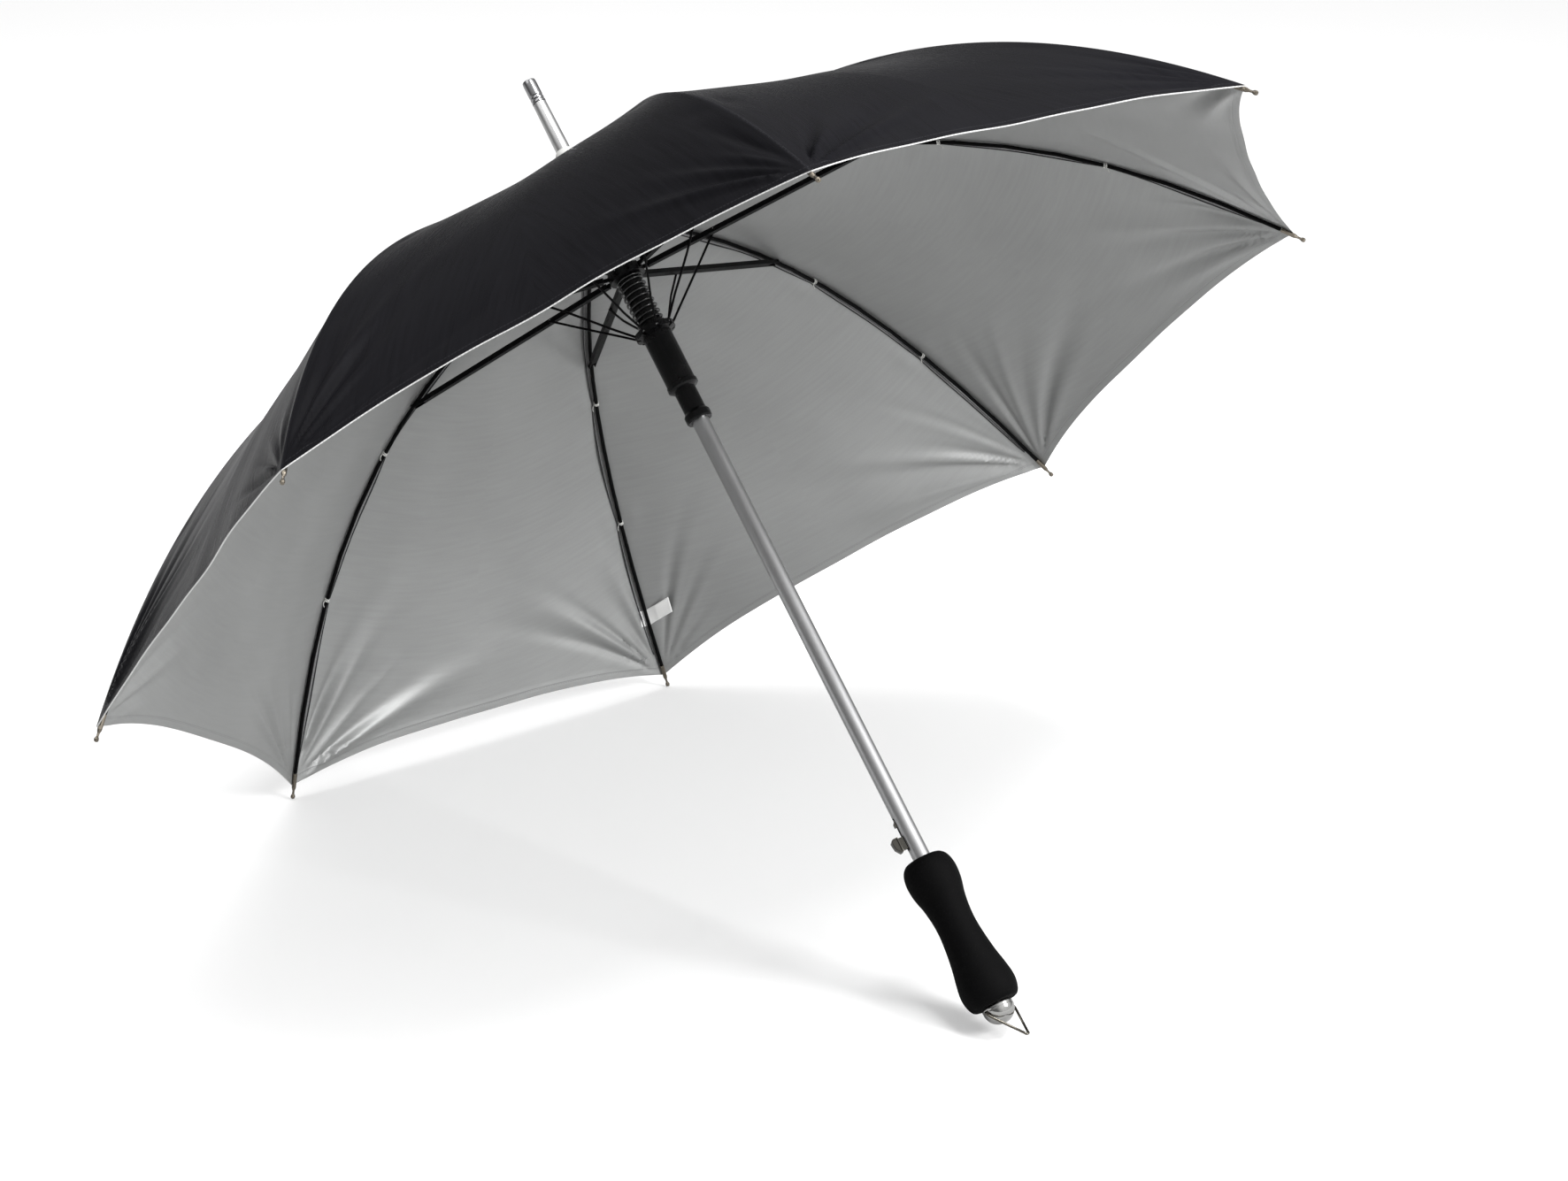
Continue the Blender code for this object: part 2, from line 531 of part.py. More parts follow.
def make_latch():
    """Release button and catch on a leaf spring inside the shaft."""
    zb, zc = Z_BUTTON, Z_CATCH
    # folded sheet-metal thumb piece on a narrow stem that runs in the shaft's slot
    head = [(-0.0108, 0.0062), (-0.0150, 0.0058), (-0.0168, 0.0036), (-0.0161, -0.0022), (-0.0130, -0.0064), (-0.0108, -0.0060)]
    work = add("release_button", outline_mesh("button_head", [(x, zb + z) for x, z in head], 0.0033), STEEL)
    boolean(work, box_mesh("button_stem", (-0.0114, -0.0019, zb - 0.0052), (-0.0040, 0.0019, zb + 0.0052)), "UNION")
    catch = add("runner_catch", box_mesh("catch_body", (-0.0084, -0.0016, zc - 0.0028), (-0.0030, 0.0016, zc + 0.0028)), STEEL)
    ramp = box_mesh("catch_ramp", (-0.0030, -0.0040, -0.0030), (0.0030, 0.0040, 0.0030))
    ramp.transform(Matrix.Translation((-0.0098, 0, zc + 0.0034)) @ Matrix.Rotation(math.radians(35), 4, "Y"))
    boolean(catch, ramp, "DIFFERENCE")
    # U-shaped leaf between them and the far wall of the shaft
    leaf = [(-0.0022, 0, zc + 0.0020), (-0.0022, 0, zb + 0.0040), (-0.0018, 0, zb - 0.0060), (0.0, 0, zb - 0.0100), (0.0022, 0, zb - 0.0080),
            (0.0036, 0, zb), (0.0042, 0, zc + 0.0020)]
    wire_curve("latch_spring", BLACK_STEEL, leaf, 0.0006, 1)


def make_label():
    """Care tab stitched beside rib 3, left blank. It lies along the inside of the panel."""
    share, wide, tall = 0.925, 0.0190, 0.0150
    near, far = -0.0052, -0.0052 - wide
    half = R_RIM * share * math.sin(math.pi / RIBS) * math.cos(math.pi / RIBS)
    corners = []
    for y in (near, far):
        for up in (-0.5, 0.5):
            p = canopy_point(share + up * tall / R_RIM / 1.35, y / half)
            corners.append(p)
    across = (corners[2] - corners[0]).normalized()
    along = (corners[1] - corners[0]).normalized()
    normal = along.cross(across)
    if normal.z < 0:
        normal = -normal
    centre = sum(corners, Vector()) / 4 - normal * 0.0026
    work = bmesh.new()
    bmesh.ops.create_cube(work, size=1.0)
    for v in work.verts:
        s, t, u = v.co
        v.co = centre + across * (s * wide) + along * (t * tall) + normal * (u * 0.0006)
    bmesh.ops.recalc_face_normals(work, faces=work.faces)
    made = add("care_label", mesh_from("care_label", work), LABEL)
    made.rotation_euler = (0, 0, azimuth(3))


make_ribs()
make_tips()
make_stretchers()
make_wires()
make_gores()
make_fittings()
make_shaft()
make_handle()
make_latch()
make_label()
for leftover in list(CUTTERS.objects):
    used = any(m.type == "BOOLEAN" and m.object == leftover for o in PARTS.objects for m in o.modifiers)
    if not used:
        bpy.data.objects.remove(leftover, do_unlink=True)
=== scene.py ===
"""Looks of the automatic stick umbrella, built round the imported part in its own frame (metres, +Z up the shaft)."""

import math

import bpy
import bmesh
import numpy as np
from mathutils import Matrix, Vector


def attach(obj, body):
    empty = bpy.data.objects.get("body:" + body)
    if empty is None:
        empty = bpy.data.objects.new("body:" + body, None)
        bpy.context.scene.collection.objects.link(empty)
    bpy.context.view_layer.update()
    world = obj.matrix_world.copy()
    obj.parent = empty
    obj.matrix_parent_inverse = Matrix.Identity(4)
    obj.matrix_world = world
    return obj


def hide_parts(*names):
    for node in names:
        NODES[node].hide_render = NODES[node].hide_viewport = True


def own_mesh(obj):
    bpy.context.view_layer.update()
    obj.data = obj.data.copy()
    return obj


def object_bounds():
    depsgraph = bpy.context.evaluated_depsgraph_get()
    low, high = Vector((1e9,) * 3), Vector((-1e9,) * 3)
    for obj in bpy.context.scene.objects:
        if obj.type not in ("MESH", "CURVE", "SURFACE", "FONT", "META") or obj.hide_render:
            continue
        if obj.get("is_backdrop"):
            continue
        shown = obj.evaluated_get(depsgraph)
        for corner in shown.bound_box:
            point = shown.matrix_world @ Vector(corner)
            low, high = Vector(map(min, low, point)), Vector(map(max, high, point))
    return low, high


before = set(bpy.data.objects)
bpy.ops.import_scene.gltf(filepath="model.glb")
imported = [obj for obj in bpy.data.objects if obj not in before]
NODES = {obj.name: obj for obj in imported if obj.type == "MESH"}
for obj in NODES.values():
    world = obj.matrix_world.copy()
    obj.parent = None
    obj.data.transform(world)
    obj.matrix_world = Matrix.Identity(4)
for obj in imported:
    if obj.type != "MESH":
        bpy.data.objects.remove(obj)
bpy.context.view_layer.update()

# ------------------------------------------------------------- dimensions (as in the part's source)
RIBS = 8
HALF = math.pi / RIBS
Z_RIM, R_RIM = 0.400, 0.520
Z_TOP, DROP, BEND = Z_RIM + 0.2365, 0.2345, 2.75
R_PIVOT, Z_CROWN = 0.0120, Z_RIM + 0.2325
R_JOINT, Z_JOINT = 0.2370, Z_RIM + 0.2085
Z_HUB = 2 * Z_JOINT - Z_CROWN
Z_RING = Z_RIM + 0.1304
RIB_R = 0.0017
FABRIC_GAP = 0.0024
HEM_CUT, SAG_HEM, SAG_MID = 0.024, 0.0035, 0.0055
SHAFT_R = 0.0070
Z_FERRULE_TOP, Z_CAP, Z_ROSETTE = Z_RIM + 0.3690, Z_RIM + 0.3480, Z_RIM + 0.2975
Z_GRIP_TOP, Z_GRIP_END, Z_BALL, BALL_R = Z_RIM - 0.3423, Z_RIM - 0.4664, Z_RIM - 0.4690, 0.0125
Z_BUTTON = Z_RIM - 0.3260
TIES = (0.549, 0.778)


def azimuth(number):
    return math.pi - math.tau * (number - 1) / RIBS


def rib_z(r):
    return Z_TOP - DROP * (r / R_RIM) ** BEND


def rib_slope(r):
    return -DROP * BEND / R_RIM * (r / R_RIM) ** (BEND - 1)


# ------------------------------------------------------------------------------------------- camera
def turn_matrix(rv):
    v = np.array(rv)
    angle = np.linalg.norm(v)
    k = v / angle
    m = np.array([[0, -k[2], k[1]], [k[2], 0, -k[0]], [-k[1], k[0], 0]])
    return np.eye(3) + math.sin(angle) * m + (1 - math.cos(angle)) * m @ m


VIEW = turn_matrix((-0.6551605, -1.70958816, 2.34974863)) @ np.diag([-1.0, -1.0, 1.0])
REACH = 0.52 * np.array((-0.08667326, -0.17829915, 5.22786071))
EYE = np.array([0, 0, Z_RIM]) - VIEW.T @ REACH
RIGHT, UP, BACK = Vector(VIEW[0]), Vector(-VIEW[1]), Vector(-VIEW[2])
camera = bpy.data.objects.new("camera", bpy.data.cameras.new("camera"))
bpy.context.scene.collection.objects.link(camera)
camera.data.sensor_fit = "HORIZONTAL"
camera.data.sensor_width = 36.0
camera.data.lens = 3928.66 / 1772 * 36.0
camera.data.clip_start, camera.data.clip_end = 0.05, 100.0
camera.matrix_world = Matrix((
    (RIGHT.x, UP.x, BACK.x, EYE[0]), (RIGHT.y, UP.y, BACK.y, EYE[1]),
    (RIGHT.z, UP.z, BACK.z, EYE[2]), (0, 0, 0, 1)))
bpy.context.scene.camera = camera


# ---------------------------------------------------------------------------------------- materials
class Finish:
    """A Principled material with small helpers for its node tree."""

    def __init__(self, name, **constants):
        self.mat = bpy.data.materials.new(name)
        self.mat.use_nodes = True
        self.tree = self.mat.node_tree
        self.tree.nodes.clear()
        self.out = self.tree.nodes.new("ShaderNodeOutputMaterial")
        self.shader = self.tree.nodes.new("ShaderNodeBsdfPrincipled")
        self.tree.links.new(self.shader.outputs[0], self.out.inputs[0])
        for key, value in constants.items():
            socket = self.shader.inputs[key.replace("_", " ")]
            socket.default_value = (*value, 1.0) if isinstance(value, tuple) and len(value) == 3 else value

    def node(self, kind, inputs=None, **settings):
        made = self.tree.nodes.new(kind)
        for key, value in settings.items():
            setattr(made, key, value)
        for key, value in (inputs or {}).items():
            if isinstance(value, bpy.types.NodeSocket):
                self.tree.links.new(value, made.inputs[key])
            else:
                made.inputs[key].default_value = value
        return made

    def place(self):
        return self.node("ShaderNodeTexCoord").outputs["Object"]

    def uv(self, name):
        return self.node("ShaderNodeUVMap", uv_map=name).outputs[0]

    def noise(self, vector, scale, detail=3.0, rough=0.5, stretch=None):
        if stretch is not None:
            vector = self.node("ShaderNodeMapping", {"Vector": vector, "Scale": stretch}).outputs[0]
        return self.node("ShaderNodeTexNoise", {"Vector": vector, "Scale": scale, "Detail": detail, "Roughness": rough}).outputs["Fac"]

    def math(self, operation, a, b=None, c=None, clamp=False):
        made = self.node("ShaderNodeMath", operation=operation, use_clamp=clamp)
        for i, value in enumerate((a, b, c)):
            if value is None:
                continue
            if isinstance(value, bpy.types.NodeSocket):
                self.tree.links.new(value, made.inputs[i])
            else:
                made.inputs[i].default_value = value
        return made.outputs[0]

    def remap(self, value, low, high, to_low, to_high, smooth=False):
        made = self.node("ShaderNodeMapRange", {"Value": value, "From Min": low, "From Max": high, "To Min": to_low, "To Max": to_high})
        made.interpolation_type = "SMOOTHSTEP" if smooth else "LINEAR"
        return made.outputs["Result"]

    def ramp(self, value, *stops):
        made = self.node("ShaderNodeValToRGB", {"Fac": value})
        band = made.color_ramp
        while len(band.elements) < len(stops):
            band.elements.new(0.5)
        for element, (at, colour) in zip(band.elements, stops):
            element.position = at
            element.color = (*colour, 1.0)
        return made.outputs["Color"]

    def mix(self, share, a, b):
        made = self.node("ShaderNodeMix", data_type="RGBA")
        for key, value in ((0, share), (6, a), (7, b)):
            if isinstance(value, bpy.types.NodeSocket):
                self.tree.links.new(value, made.inputs[key])
            else:
                made.inputs[key].default_value = (*value, 1.0) if isinstance(value, tuple) else value
        return made.outputs[2]

    def set(self, key, value):
        self.tree.links.new(value, self.shader.inputs[key])

    def bump(self, height, strength, distance, below=None):
        made = self.node("ShaderNodeBump", {"Height": height, "Strength": strength, "Distance": distance})
        if below is not None:
            self.tree.links.new(below, made.inputs["Normal"])
        self.tree.links.new(made.outputs[0], self.shader.inputs["Normal"])
        return made.outputs[0]


def weave(f, pitch):
    """Plain weave height: two crossed sets of threads, over and under."""
    uv = f.node("ShaderNodeSeparateXYZ", {"Vector": f.uv("weave")})
    k = math.pi / pitch
    a = f.math("ABSOLUTE", f.math("SINE", f.math("MULTIPLY", uv.outputs[0], k)))
    b = f.math("ABSOLUTE", f.math("SINE", f.math("MULTIPLY", uv.outputs[1], k)))
    over = f.math("SINE", f.math("MULTIPLY", f.math("ADD", uv.outputs[0], uv.outputs[1]), k))
    return f.math("MULTIPLY_ADD", over, 0.25, f.math("ADD", a, b))


def stitches(f, distance, at, along, width=0.0006, length=0.0024):
    """1 on a line of stitches at this distance from an edge, 0 elsewhere."""
    line = f.math("LESS_THAN", f.math("ABSOLUTE", f.math("SUBTRACT", distance, at)), width / 2)
    dash = f.math("LESS_THAN", f.math("FRACT", f.math("DIVIDE", along, length)), 0.68)
    return f.math("MULTIPLY", line, dash)


def cloth_outer():
    f = Finish("canopy_black", Roughness=0.42, Specular_IOR_Level=0.022, Sheen_Weight=0.001, Sheen_Roughness=0.35, Anisotropic=0.35)
    f.shader.inputs["Sheen Tint"].default_value = (0.62, 0.62, 0.72, 1.0)
    place = f.node("ShaderNodeSeparateXYZ", {"Vector": f.uv("place")})
    uv = f.node("ShaderNodeSeparateXYZ", {"Vector": f.uv("weave")})
    broad = f.noise(f.place(), 5.0, 2.0)
    fine = f.noise(f.uv("weave"), 900.0, 3.0, 0.6)
    slub = f.noise(f.uv("weave"), 260.0, 2.0, 0.5, (1.0, 0.06, 1.0))
    shade = f.math("ADD", f.math("MULTIPLY", broad, 0.5), f.math("MULTIPLY", slub, 0.5))
    base = f.ramp(shade, (0.30, (0.0050, 0.0049, 0.0060)), (0.70, (0.0092, 0.0090, 0.0110)))
    # the needle line beside each seam, and the paler wear on the seam itself
    worn = f.remap(place.outputs[0], 0.0, 0.0016, 0.35, 0.0, True)
    worn = f.math("MULTIPLY", worn, f.remap(fine, 0.42, 0.62, 0.0, 1.0))
    base = f.mix(worn, base, (0.055, 0.055, 0.062))
    thread = stitches(f, place.outputs[1], 0.0062, uv.outputs[0])
    base = f.mix(f.math("MULTIPLY", thread, 0.5), base, (0.05, 0.05, 0.055))
    f.set("Base Color", base)
    f.set("Roughness", f.remap(f.math("ADD", f.math("MULTIPLY", slub, 0.6), f.math("MULTIPLY", broad, 0.4)), 0.3, 0.7, 0.24, 0.33))
    small = f.bump(weave(f, 0.00042), 0.10, 0.0002)
    ripple = f.noise(f.uv("weave"), 60.0, 2.0, 0.5, (1.0, 0.35, 1.0))
    seam = f.remap(place.outputs[0], 0.0, 0.0022, 1.0, 0.0, True)
    hem = f.remap(place.outputs[1], 0.0055, 0.0066, 1.0, 0.0, True)
    height = f.math("ADD", f.math("MULTIPLY", ripple, 0.30), f.math("ADD", f.math("MULTIPLY", seam, 0.5), f.math("MULTIPLY", hem, 0.35)))
    f.bump(height, 0.35, 0.0012, small)
    return f.mat


def cloth_inner():
    f = Finish("canopy_silver", Metallic=0.50, Roughness=0.46, Specular_IOR_Level=0.5, Sheen_Weight=0.05, Sheen_Roughness=0.5)
    place = f.node("ShaderNodeSeparateXYZ", {"Vector": f.uv("place")})
    uv = f.node("ShaderNodeSeparateXYZ", {"Vector": f.uv("weave")})
    broad = f.noise(f.place(), 6.0, 3.0)
    fine = f.noise(f.uv("weave"), 1100.0, 3.0, 0.65)
    slub = f.noise(f.uv("weave"), 300.0, 2.0, 0.5, (0.08, 1.0, 1.0))
    shade = f.math("ADD", f.math("MULTIPLY", broad, 0.45), f.math("ADD", f.math("MULTIPLY", fine, 0.30), f.math("MULTIPLY", slub, 0.25)))
    base = f.ramp(shade, (0.34, (0.310, 0.314, 0.312)), (0.66, (0.385, 0.390, 0.387)))
    # grey body of the cloth shows along the seam, the stitch line and the folded hem's step
    rubbed = f.remap(place.outputs[0], 0.0, 0.0030, 0.50, 0.0, True)
    base = f.mix(rubbed, base, (0.20, 0.20, 0.205))
    step = f.math("LESS_THAN", f.math("ABSOLUTE", f.math("SUBTRACT", place.outputs[1], 0.0070)), 0.00035)
    base = f.mix(f.math("MULTIPLY", step, 0.22), base, (0.17, 0.17, 0.175))
    thread = stitches(f, place.outputs[1], 0.0058, uv.outputs[0])
    base = f.mix(f.math("MULTIPLY", thread, 0.35), base, (0.14, 0.14, 0.145))
    f.set("Base Color", base)
    f.set("Roughness", f.remap(shade, 0.3, 0.7, 0.38, 0.50))
    small = f.bump(weave(f, 0.00042), 0.12, 0.0002)
    ripple = f.noise(f.uv("weave"), 45.0, 2.0, 0.5, (1.0, 0.4, 1.0))
    hem = f.remap(place.outputs[1], 0.0064, 0.0072, 1.0, 0.0, True)
    f.bump(f.math("ADD", f.math("MULTIPLY", ripple, 0.30), f.math("MULTIPLY", hem, 0.4)), 0.35, 0.0012, small)
    return f.mat


def hem_edge():
    f = Finish("hem_edge", Metallic=0.2, Roughness=0.42)
    uv = f.node("ShaderNodeSeparateXYZ", {"Vector": f.uv("weave")})
    dash = f.math("FRACT", f.math("DIVIDE", uv.outputs[0], 0.0026))
    # the edge puckers between stitches; the same height also paints the tape darker in each dip, a painted shade of the
    # puckers
    pucker_and_shade = f.remap(f.math("ABSOLUTE", f.math("SUBTRACT", dash, 0.5)), 0.30, 0.5, 1.0, 0.55, True)
    fine = f.noise(f.uv("weave"), 700.0, 2.0)
    # painted shade: the pale tape is mixed darker where the pucker dips at each stitch
    base = f.mix(f.math("MULTIPLY", pucker_and_shade, f.remap(fine, 0.3, 0.7, 0.75, 1.0)), (0.36, 0.36, 0.365), (0.80, 0.80, 0.79))
    f.set("Base Color", base)
    f.bump(pucker_and_shade, 0.5, 0.0005)
    return f.mat


def seam_tape():
    f = Finish("seam_allowance", Metallic=0.30, Roughness=0.52)
    place = f.node("ShaderNodeSeparateXYZ", {"Vector": f.uv("place")})
    fine = f.noise(f.uv("weave"), 900.0, 3.0)
    base = f.ramp(fine, (0.3, (0.20, 0.20, 0.205)), (0.7, (0.33, 0.33, 0.33)))
    # two raw edges of the black cloth
    raw = f.math("GREATER_THAN", place.outputs[0], 0.84)
    second = f.math("LESS_THAN", f.math("ABSOLUTE", f.math("SUBTRACT", place.outputs[0], 0.58)), 0.055)
    base = f.mix(f.math("MAXIMUM", raw, f.math("MULTIPLY", second, 0.75)), base, (0.012, 0.012, 0.014))
    f.set("Base Color", base)
    f.bump(f.noise(f.uv("weave"), 500.0, 2.0), 0.3, 0.0004)
    return f.mat


def painted_steel(name="rib_enamel", base=(0.0025, 0.0025, 0.0027), rough=0.30, gloss=0.05, coat=0.01):
    f = Finish(name, Metallic=0.0, Specular_IOR_Level=gloss, Coat_Weight=coat, Coat_Roughness=0.12)
    peel = f.noise(f.place(), 700.0, 3.0, 0.55)
    wear = f.noise(f.place(), 90.0, 4.0, 0.7)
    chip = f.remap(wear, 0.66, 0.72, 0.0, 1.0, True)
    f.set("Base Color", f.mix(f.math("MULTIPLY", chip, 0.35), base, (0.05, 0.05, 0.05)))
    f.set("Roughness", f.math("ADD", rough, f.math("MULTIPLY", peel, 0.16)))
    f.bump(peel, 0.18, 0.0004)
    return f.mat


def moulded(name, low, high, rough, coat=0.0, grain=1500.0, strength=0.15):
    f = Finish(name, Specular_IOR_Level=0.16, Coat_Weight=coat, Coat_Roughness=0.12)
    grainy = f.noise(f.place(), grain, 3.0, 0.6)
    broad = f.noise(f.place(), 60.0, 3.0)
    f.set("Base Color", f.ramp(f.math("ADD", f.math("MULTIPLY", grainy, 0.4), f.math("MULTIPLY", broad, 0.6)), (0.35, low), (0.65, high)))
    f.set("Roughness", f.remap(broad, 0.3, 0.7, rough - 0.05, rough + 0.07))
    f.bump(grainy, strength, 0.0003)
    return f.mat


def foam():
    f = Finish("grip_foam_fine", Specular_IOR_Level=0.06, Sheen_Weight=0.001, Sheen_Roughness=0.5)
    cells = f.node("ShaderNodeTexVoronoi", {"Vector": f.place(), "Scale": 1500.0}, feature="F1").outputs["Distance"]
    fine = f.noise(f.place(), 900.0, 4.0, 0.65)
    broad = f.noise(f.place(), 45.0, 3.0)
    shade = f.math("ADD", f.math("MULTIPLY", fine, 0.5), f.math("MULTIPLY", broad, 0.5))
    f.set("Base Color", f.ramp(shade, (0.35, (0.0010, 0.0010, 0.0011)), (0.65, (0.0026, 0.0026, 0.0028))))
    f.set("Roughness", f.remap(shade, 0.3, 0.7, 0.62, 0.80))
    f.bump(f.math("ADD", f.math("MULTIPLY", cells, 0.6), f.math("MULTIPLY", fine, 0.6)), 0.45, 0.0004)
    return f.mat


def brushed(name, colour, rough, metallic=1.0, stretch=(1.0, 1.0, 0.02), scale=2600.0, spread=0.08, strength=0.05):
    f = Finish(name, Metallic=metallic, Anisotropic=0.25)
    streak = f.noise(f.place(), scale, 3.0, 0.6, stretch)
    broad = f.noise(f.place(), 30.0, 4.0, 0.6)
    mixed = f.math("ADD", f.math("MULTIPLY", streak, 0.55), f.math("MULTIPLY", broad, 0.45))
    dark = tuple(c * 0.86 for c in colour)
    f.set("Base Color", f.ramp(mixed, (0.32, dark), (0.68, colour)))
    f.set("Roughness", f.remap(mixed, 0.3, 0.7, rough - spread / 2, rough + spread / 2))
    f.bump(streak, strength, 0.0002)
    return f.mat


def thread_finish():
    f = Finish("tie_thread", Roughness=0.75, Sheen_Weight=0.2)
    twist = f.noise(f.place(), 2500.0, 2.0, 0.5, (1.0, 1.0, 0.4))
    f.set("Base Color", f.ramp(twist, (0.35, (0.50, 0.50, 0.48)), (0.65, (0.80, 0.80, 0.77))))
    f.bump(twist, 0.5, 0.0003)
    return f.mat


def label_finish():
    f = Finish("label_ribbon", Roughness=0.55, Sheen_Weight=0.10)
    uv = f.node("ShaderNodeSeparateXYZ", {"Vector": f.uv("weave")})
    cord_lines = f.math("ABSOLUTE", f.math("SINE", f.math("MULTIPLY", uv.outputs[1], math.pi / 0.00045)))
    fine = f.noise(f.uv("weave"), 1500.0, 2.0)
    f.set("Base Color", f.ramp(f.math("ADD", f.math("MULTIPLY", cord_lines, 0.3), f.math("MULTIPLY", fine, 0.7)), (0.3, (0.84, 0.84, 0.83)), (0.8, (0.95, 0.95, 0.94))))
    f.bump(cord_lines, 0.35, 0.0002)
    return f.mat


BLACK_CLOTH, SILVER_CLOTH, HEM, SEAM = cloth_outer(), cloth_inner(), hem_edge(), seam_tape()
ENAMEL = painted_steel()
SPRING_BLACK = painted_steel("spring_enamel", (0.0025, 0.0025, 0.0027), 0.10, 0.50, 0.30)
RUNNER_BLACK = moulded("runner_plastic", (0.0016, 0.0016, 0.0018), (0.0030, 0.0030, 0.0032), 0.24, 0.06)
CROWN_BLACK = moulded("crown_plastic", (0.003, 0.003, 0.0032), (0.006, 0.006, 0.0064), 0.32, 0.05)
PALE = moulded("rosette_plastic", (0.50, 0.50, 0.49), (0.66, 0.66, 0.64), 0.45)
FOAM = foam()
ALUMINIUM = brushed("shaft_satin", (0.50, 0.50, 0.505), 0.34)
FERRULE = brushed("ferrule_satin", (0.60, 0.60, 0.60), 0.34)
CAP = brushed("cap_polished", (0.40, 0.40, 0.41), 0.15, spread=0.06, strength=0.02)
STEEL = brushed("ball_steel", (0.46, 0.46, 0.45), 0.13, spread=0.05, strength=0.02, stretch=(1.0, 1.0, 1.0), scale=900.0)
LOOP = brushed("loop_steel", (0.15, 0.140, 0.120), 0.20, stretch=(1.0, 1.0, 1.0), scale=900.0)
CLIP = brushed("button_steel", (0.075, 0.072, 0.064), 0.24, stretch=(1.0, 1.0, 1.0), scale=700.0)
SLEEVE = brushed("tip_nickel", (0.22, 0.195, 0.160), 0.26, stretch=(1.0, 1.0, 1.0), scale=900.0)
RING = brushed("ring_wire_steel", (0.35, 0.35, 0.35), 0.30, stretch=(1.0, 1.0, 1.0), scale=900.0)
THREAD = thread_finish()
RIBBON = label_finish()


def dress(name, *mats):
    """Gives a CAD node its material."""
    slots = NODES[name].material_slots
    if not slots:
        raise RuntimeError(f"{name} has no material slot")
    for slot in slots:
        slot.material = mats[0]


# ------------------------------------------------------------------------------------ mesh helpers
def new_object(name, mesh, *mats):
    made = bpy.data.objects.new(name, mesh)
    bpy.context.scene.collection.objects.link(made)
    for mat in mats:
        mesh.materials.append(mat)
    return made


def smooth(mesh, angle=40.0):
    mesh.shade_smooth()
    mesh.set_sharp_from_angle(angle=math.radians(angle))


def rounded(profile, radius, steps=4):
    """Rounds a profile's corners, where the neighbouring runs are long enough."""
    out = [profile[0]]
    for before, here, after in zip(profile, profile[1:], profile[2:]):
        p, a, b = Vector(here), Vector(before), Vector(after)
        la, lb = (a - p).length, (b - p).length
        cut = min(radius, la * 0.45, lb * 0.45)
        if cut < 2e-5:
            out.append(here)
            continue
        start, end = p + (a - p) / la * cut, p + (b - p) / lb * cut
        for i in range(steps + 1):
            t = i / steps
            q = start * (1 - t) ** 2 + p * 2 * t * (1 - t) + end * t * t
            out.append((q.x, q.y))
    out.append(profile[-1])
    return out


def lathe(name, profile, mat, around=96, closed=True):
    """A turned mesh from (radius, height) pairs."""
    work = bmesh.new()
    rings = []
    for r, z in profile:
        if r < 1e-7:
            rings.append([work.verts.new((0, 0, z))] * around)
        else:
            rings.append([work.verts.new((r * math.cos(math.tau * i / around), r * math.sin(math.tau * i / around), z)) for i in range(around)])
    pairs = list(zip(rings, rings[1:])) + ([(rings[-1], rings[0])] if closed else [])
    for a, b in pairs:
        for i in range(around):
            j = (i + 1) % around
            corners = []
            for v in (a[i], b[i], b[j], a[j]):
                if v not in corners:
                    corners.append(v)
            if len(corners) > 2:
                work.faces.new(corners)
    bmesh.ops.recalc_face_normals(work, faces=work.faces)
    mesh = bpy.data.meshes.new(name)
    work.to_mesh(mesh)
    work.free()
    smooth(mesh)
    return new_object(name, mesh, mat)


def tube(name, points, radius, mat, sides=10, cyclic=False, cap=True):
    """A round wire swept along points with a minimal twist; radius may be a list."""
    pts = [Vector(p) for p in points]
    count = len(pts)
    radii = radius if isinstance(radius, (list, tuple)) else [radius] * count
    work = bmesh.new()
    rings, side = [], None
    for i, p in enumerate(pts):
        a = pts[(i - 1) % count] if cyclic or i else p
        b = pts[(i + 1) % count] if cyclic or i < count - 1 else p
        way = (b - a).normalized()
        if side is None:
            side = way.orthogonal().normalized()
        side = (side - way * side.dot(way)).normalized()
        other = way.cross(side)
        rings.append([work.verts.new(p + (side * math.cos(math.tau * k / sides) + other * math.sin(math.tau * k / sides)) * radii[i]) for k in range(sides)])
    for a, b in list(zip(rings, rings[1:])) + ([(rings[-1], rings[0])] if cyclic else []):
        for k in range(sides):
            work.faces.new((a[k], b[k], b[(k + 1) % sides], a[(k + 1) % sides]))
    if cap and not cyclic:
        work.faces.new(rings[0])
        work.faces.new(list(reversed(rings[-1])))
    bmesh.ops.recalc_face_normals(work, faces=work.faces)
    mesh = bpy.data.meshes.new(name)
    work.to_mesh(mesh)
    work.free()
    smooth(mesh, 50.0)
    return new_object(name, mesh, mat)


def catmull(points, per=8, cyclic=False):
    pts = [Vector(p) for p in points]
    n = len(pts)
    out = []
    for i in range(n if cyclic else n - 1):
        p0 = pts[(i - 1) % n] if cyclic or i else pts[0] * 2 - pts[1]
        p1, p2 = pts[i], pts[(i + 1) % n]
        p3 = pts[(i + 2) % n] if cyclic or i + 2 < n else p2 * 2 - p1
        for j in range(per):
            t = j / per
            out.append(0.5 * ((2 * p1) + (p2 - p0) * t + (2 * p0 - 5 * p1 + 4 * p2 - p3) * t * t + (3 * p1 - p0 - 3 * p2 + p3) * t ** 3))
    if not cyclic:
        out.append(pts[-1])
    return out


# ------------------------------------------------------------------------------------------ canopy
def soft_step(value, low, high):
    t = np.clip((value - low) / (high - low), 0.0, 1.0)
    return t * t * (3 - 2 * t)


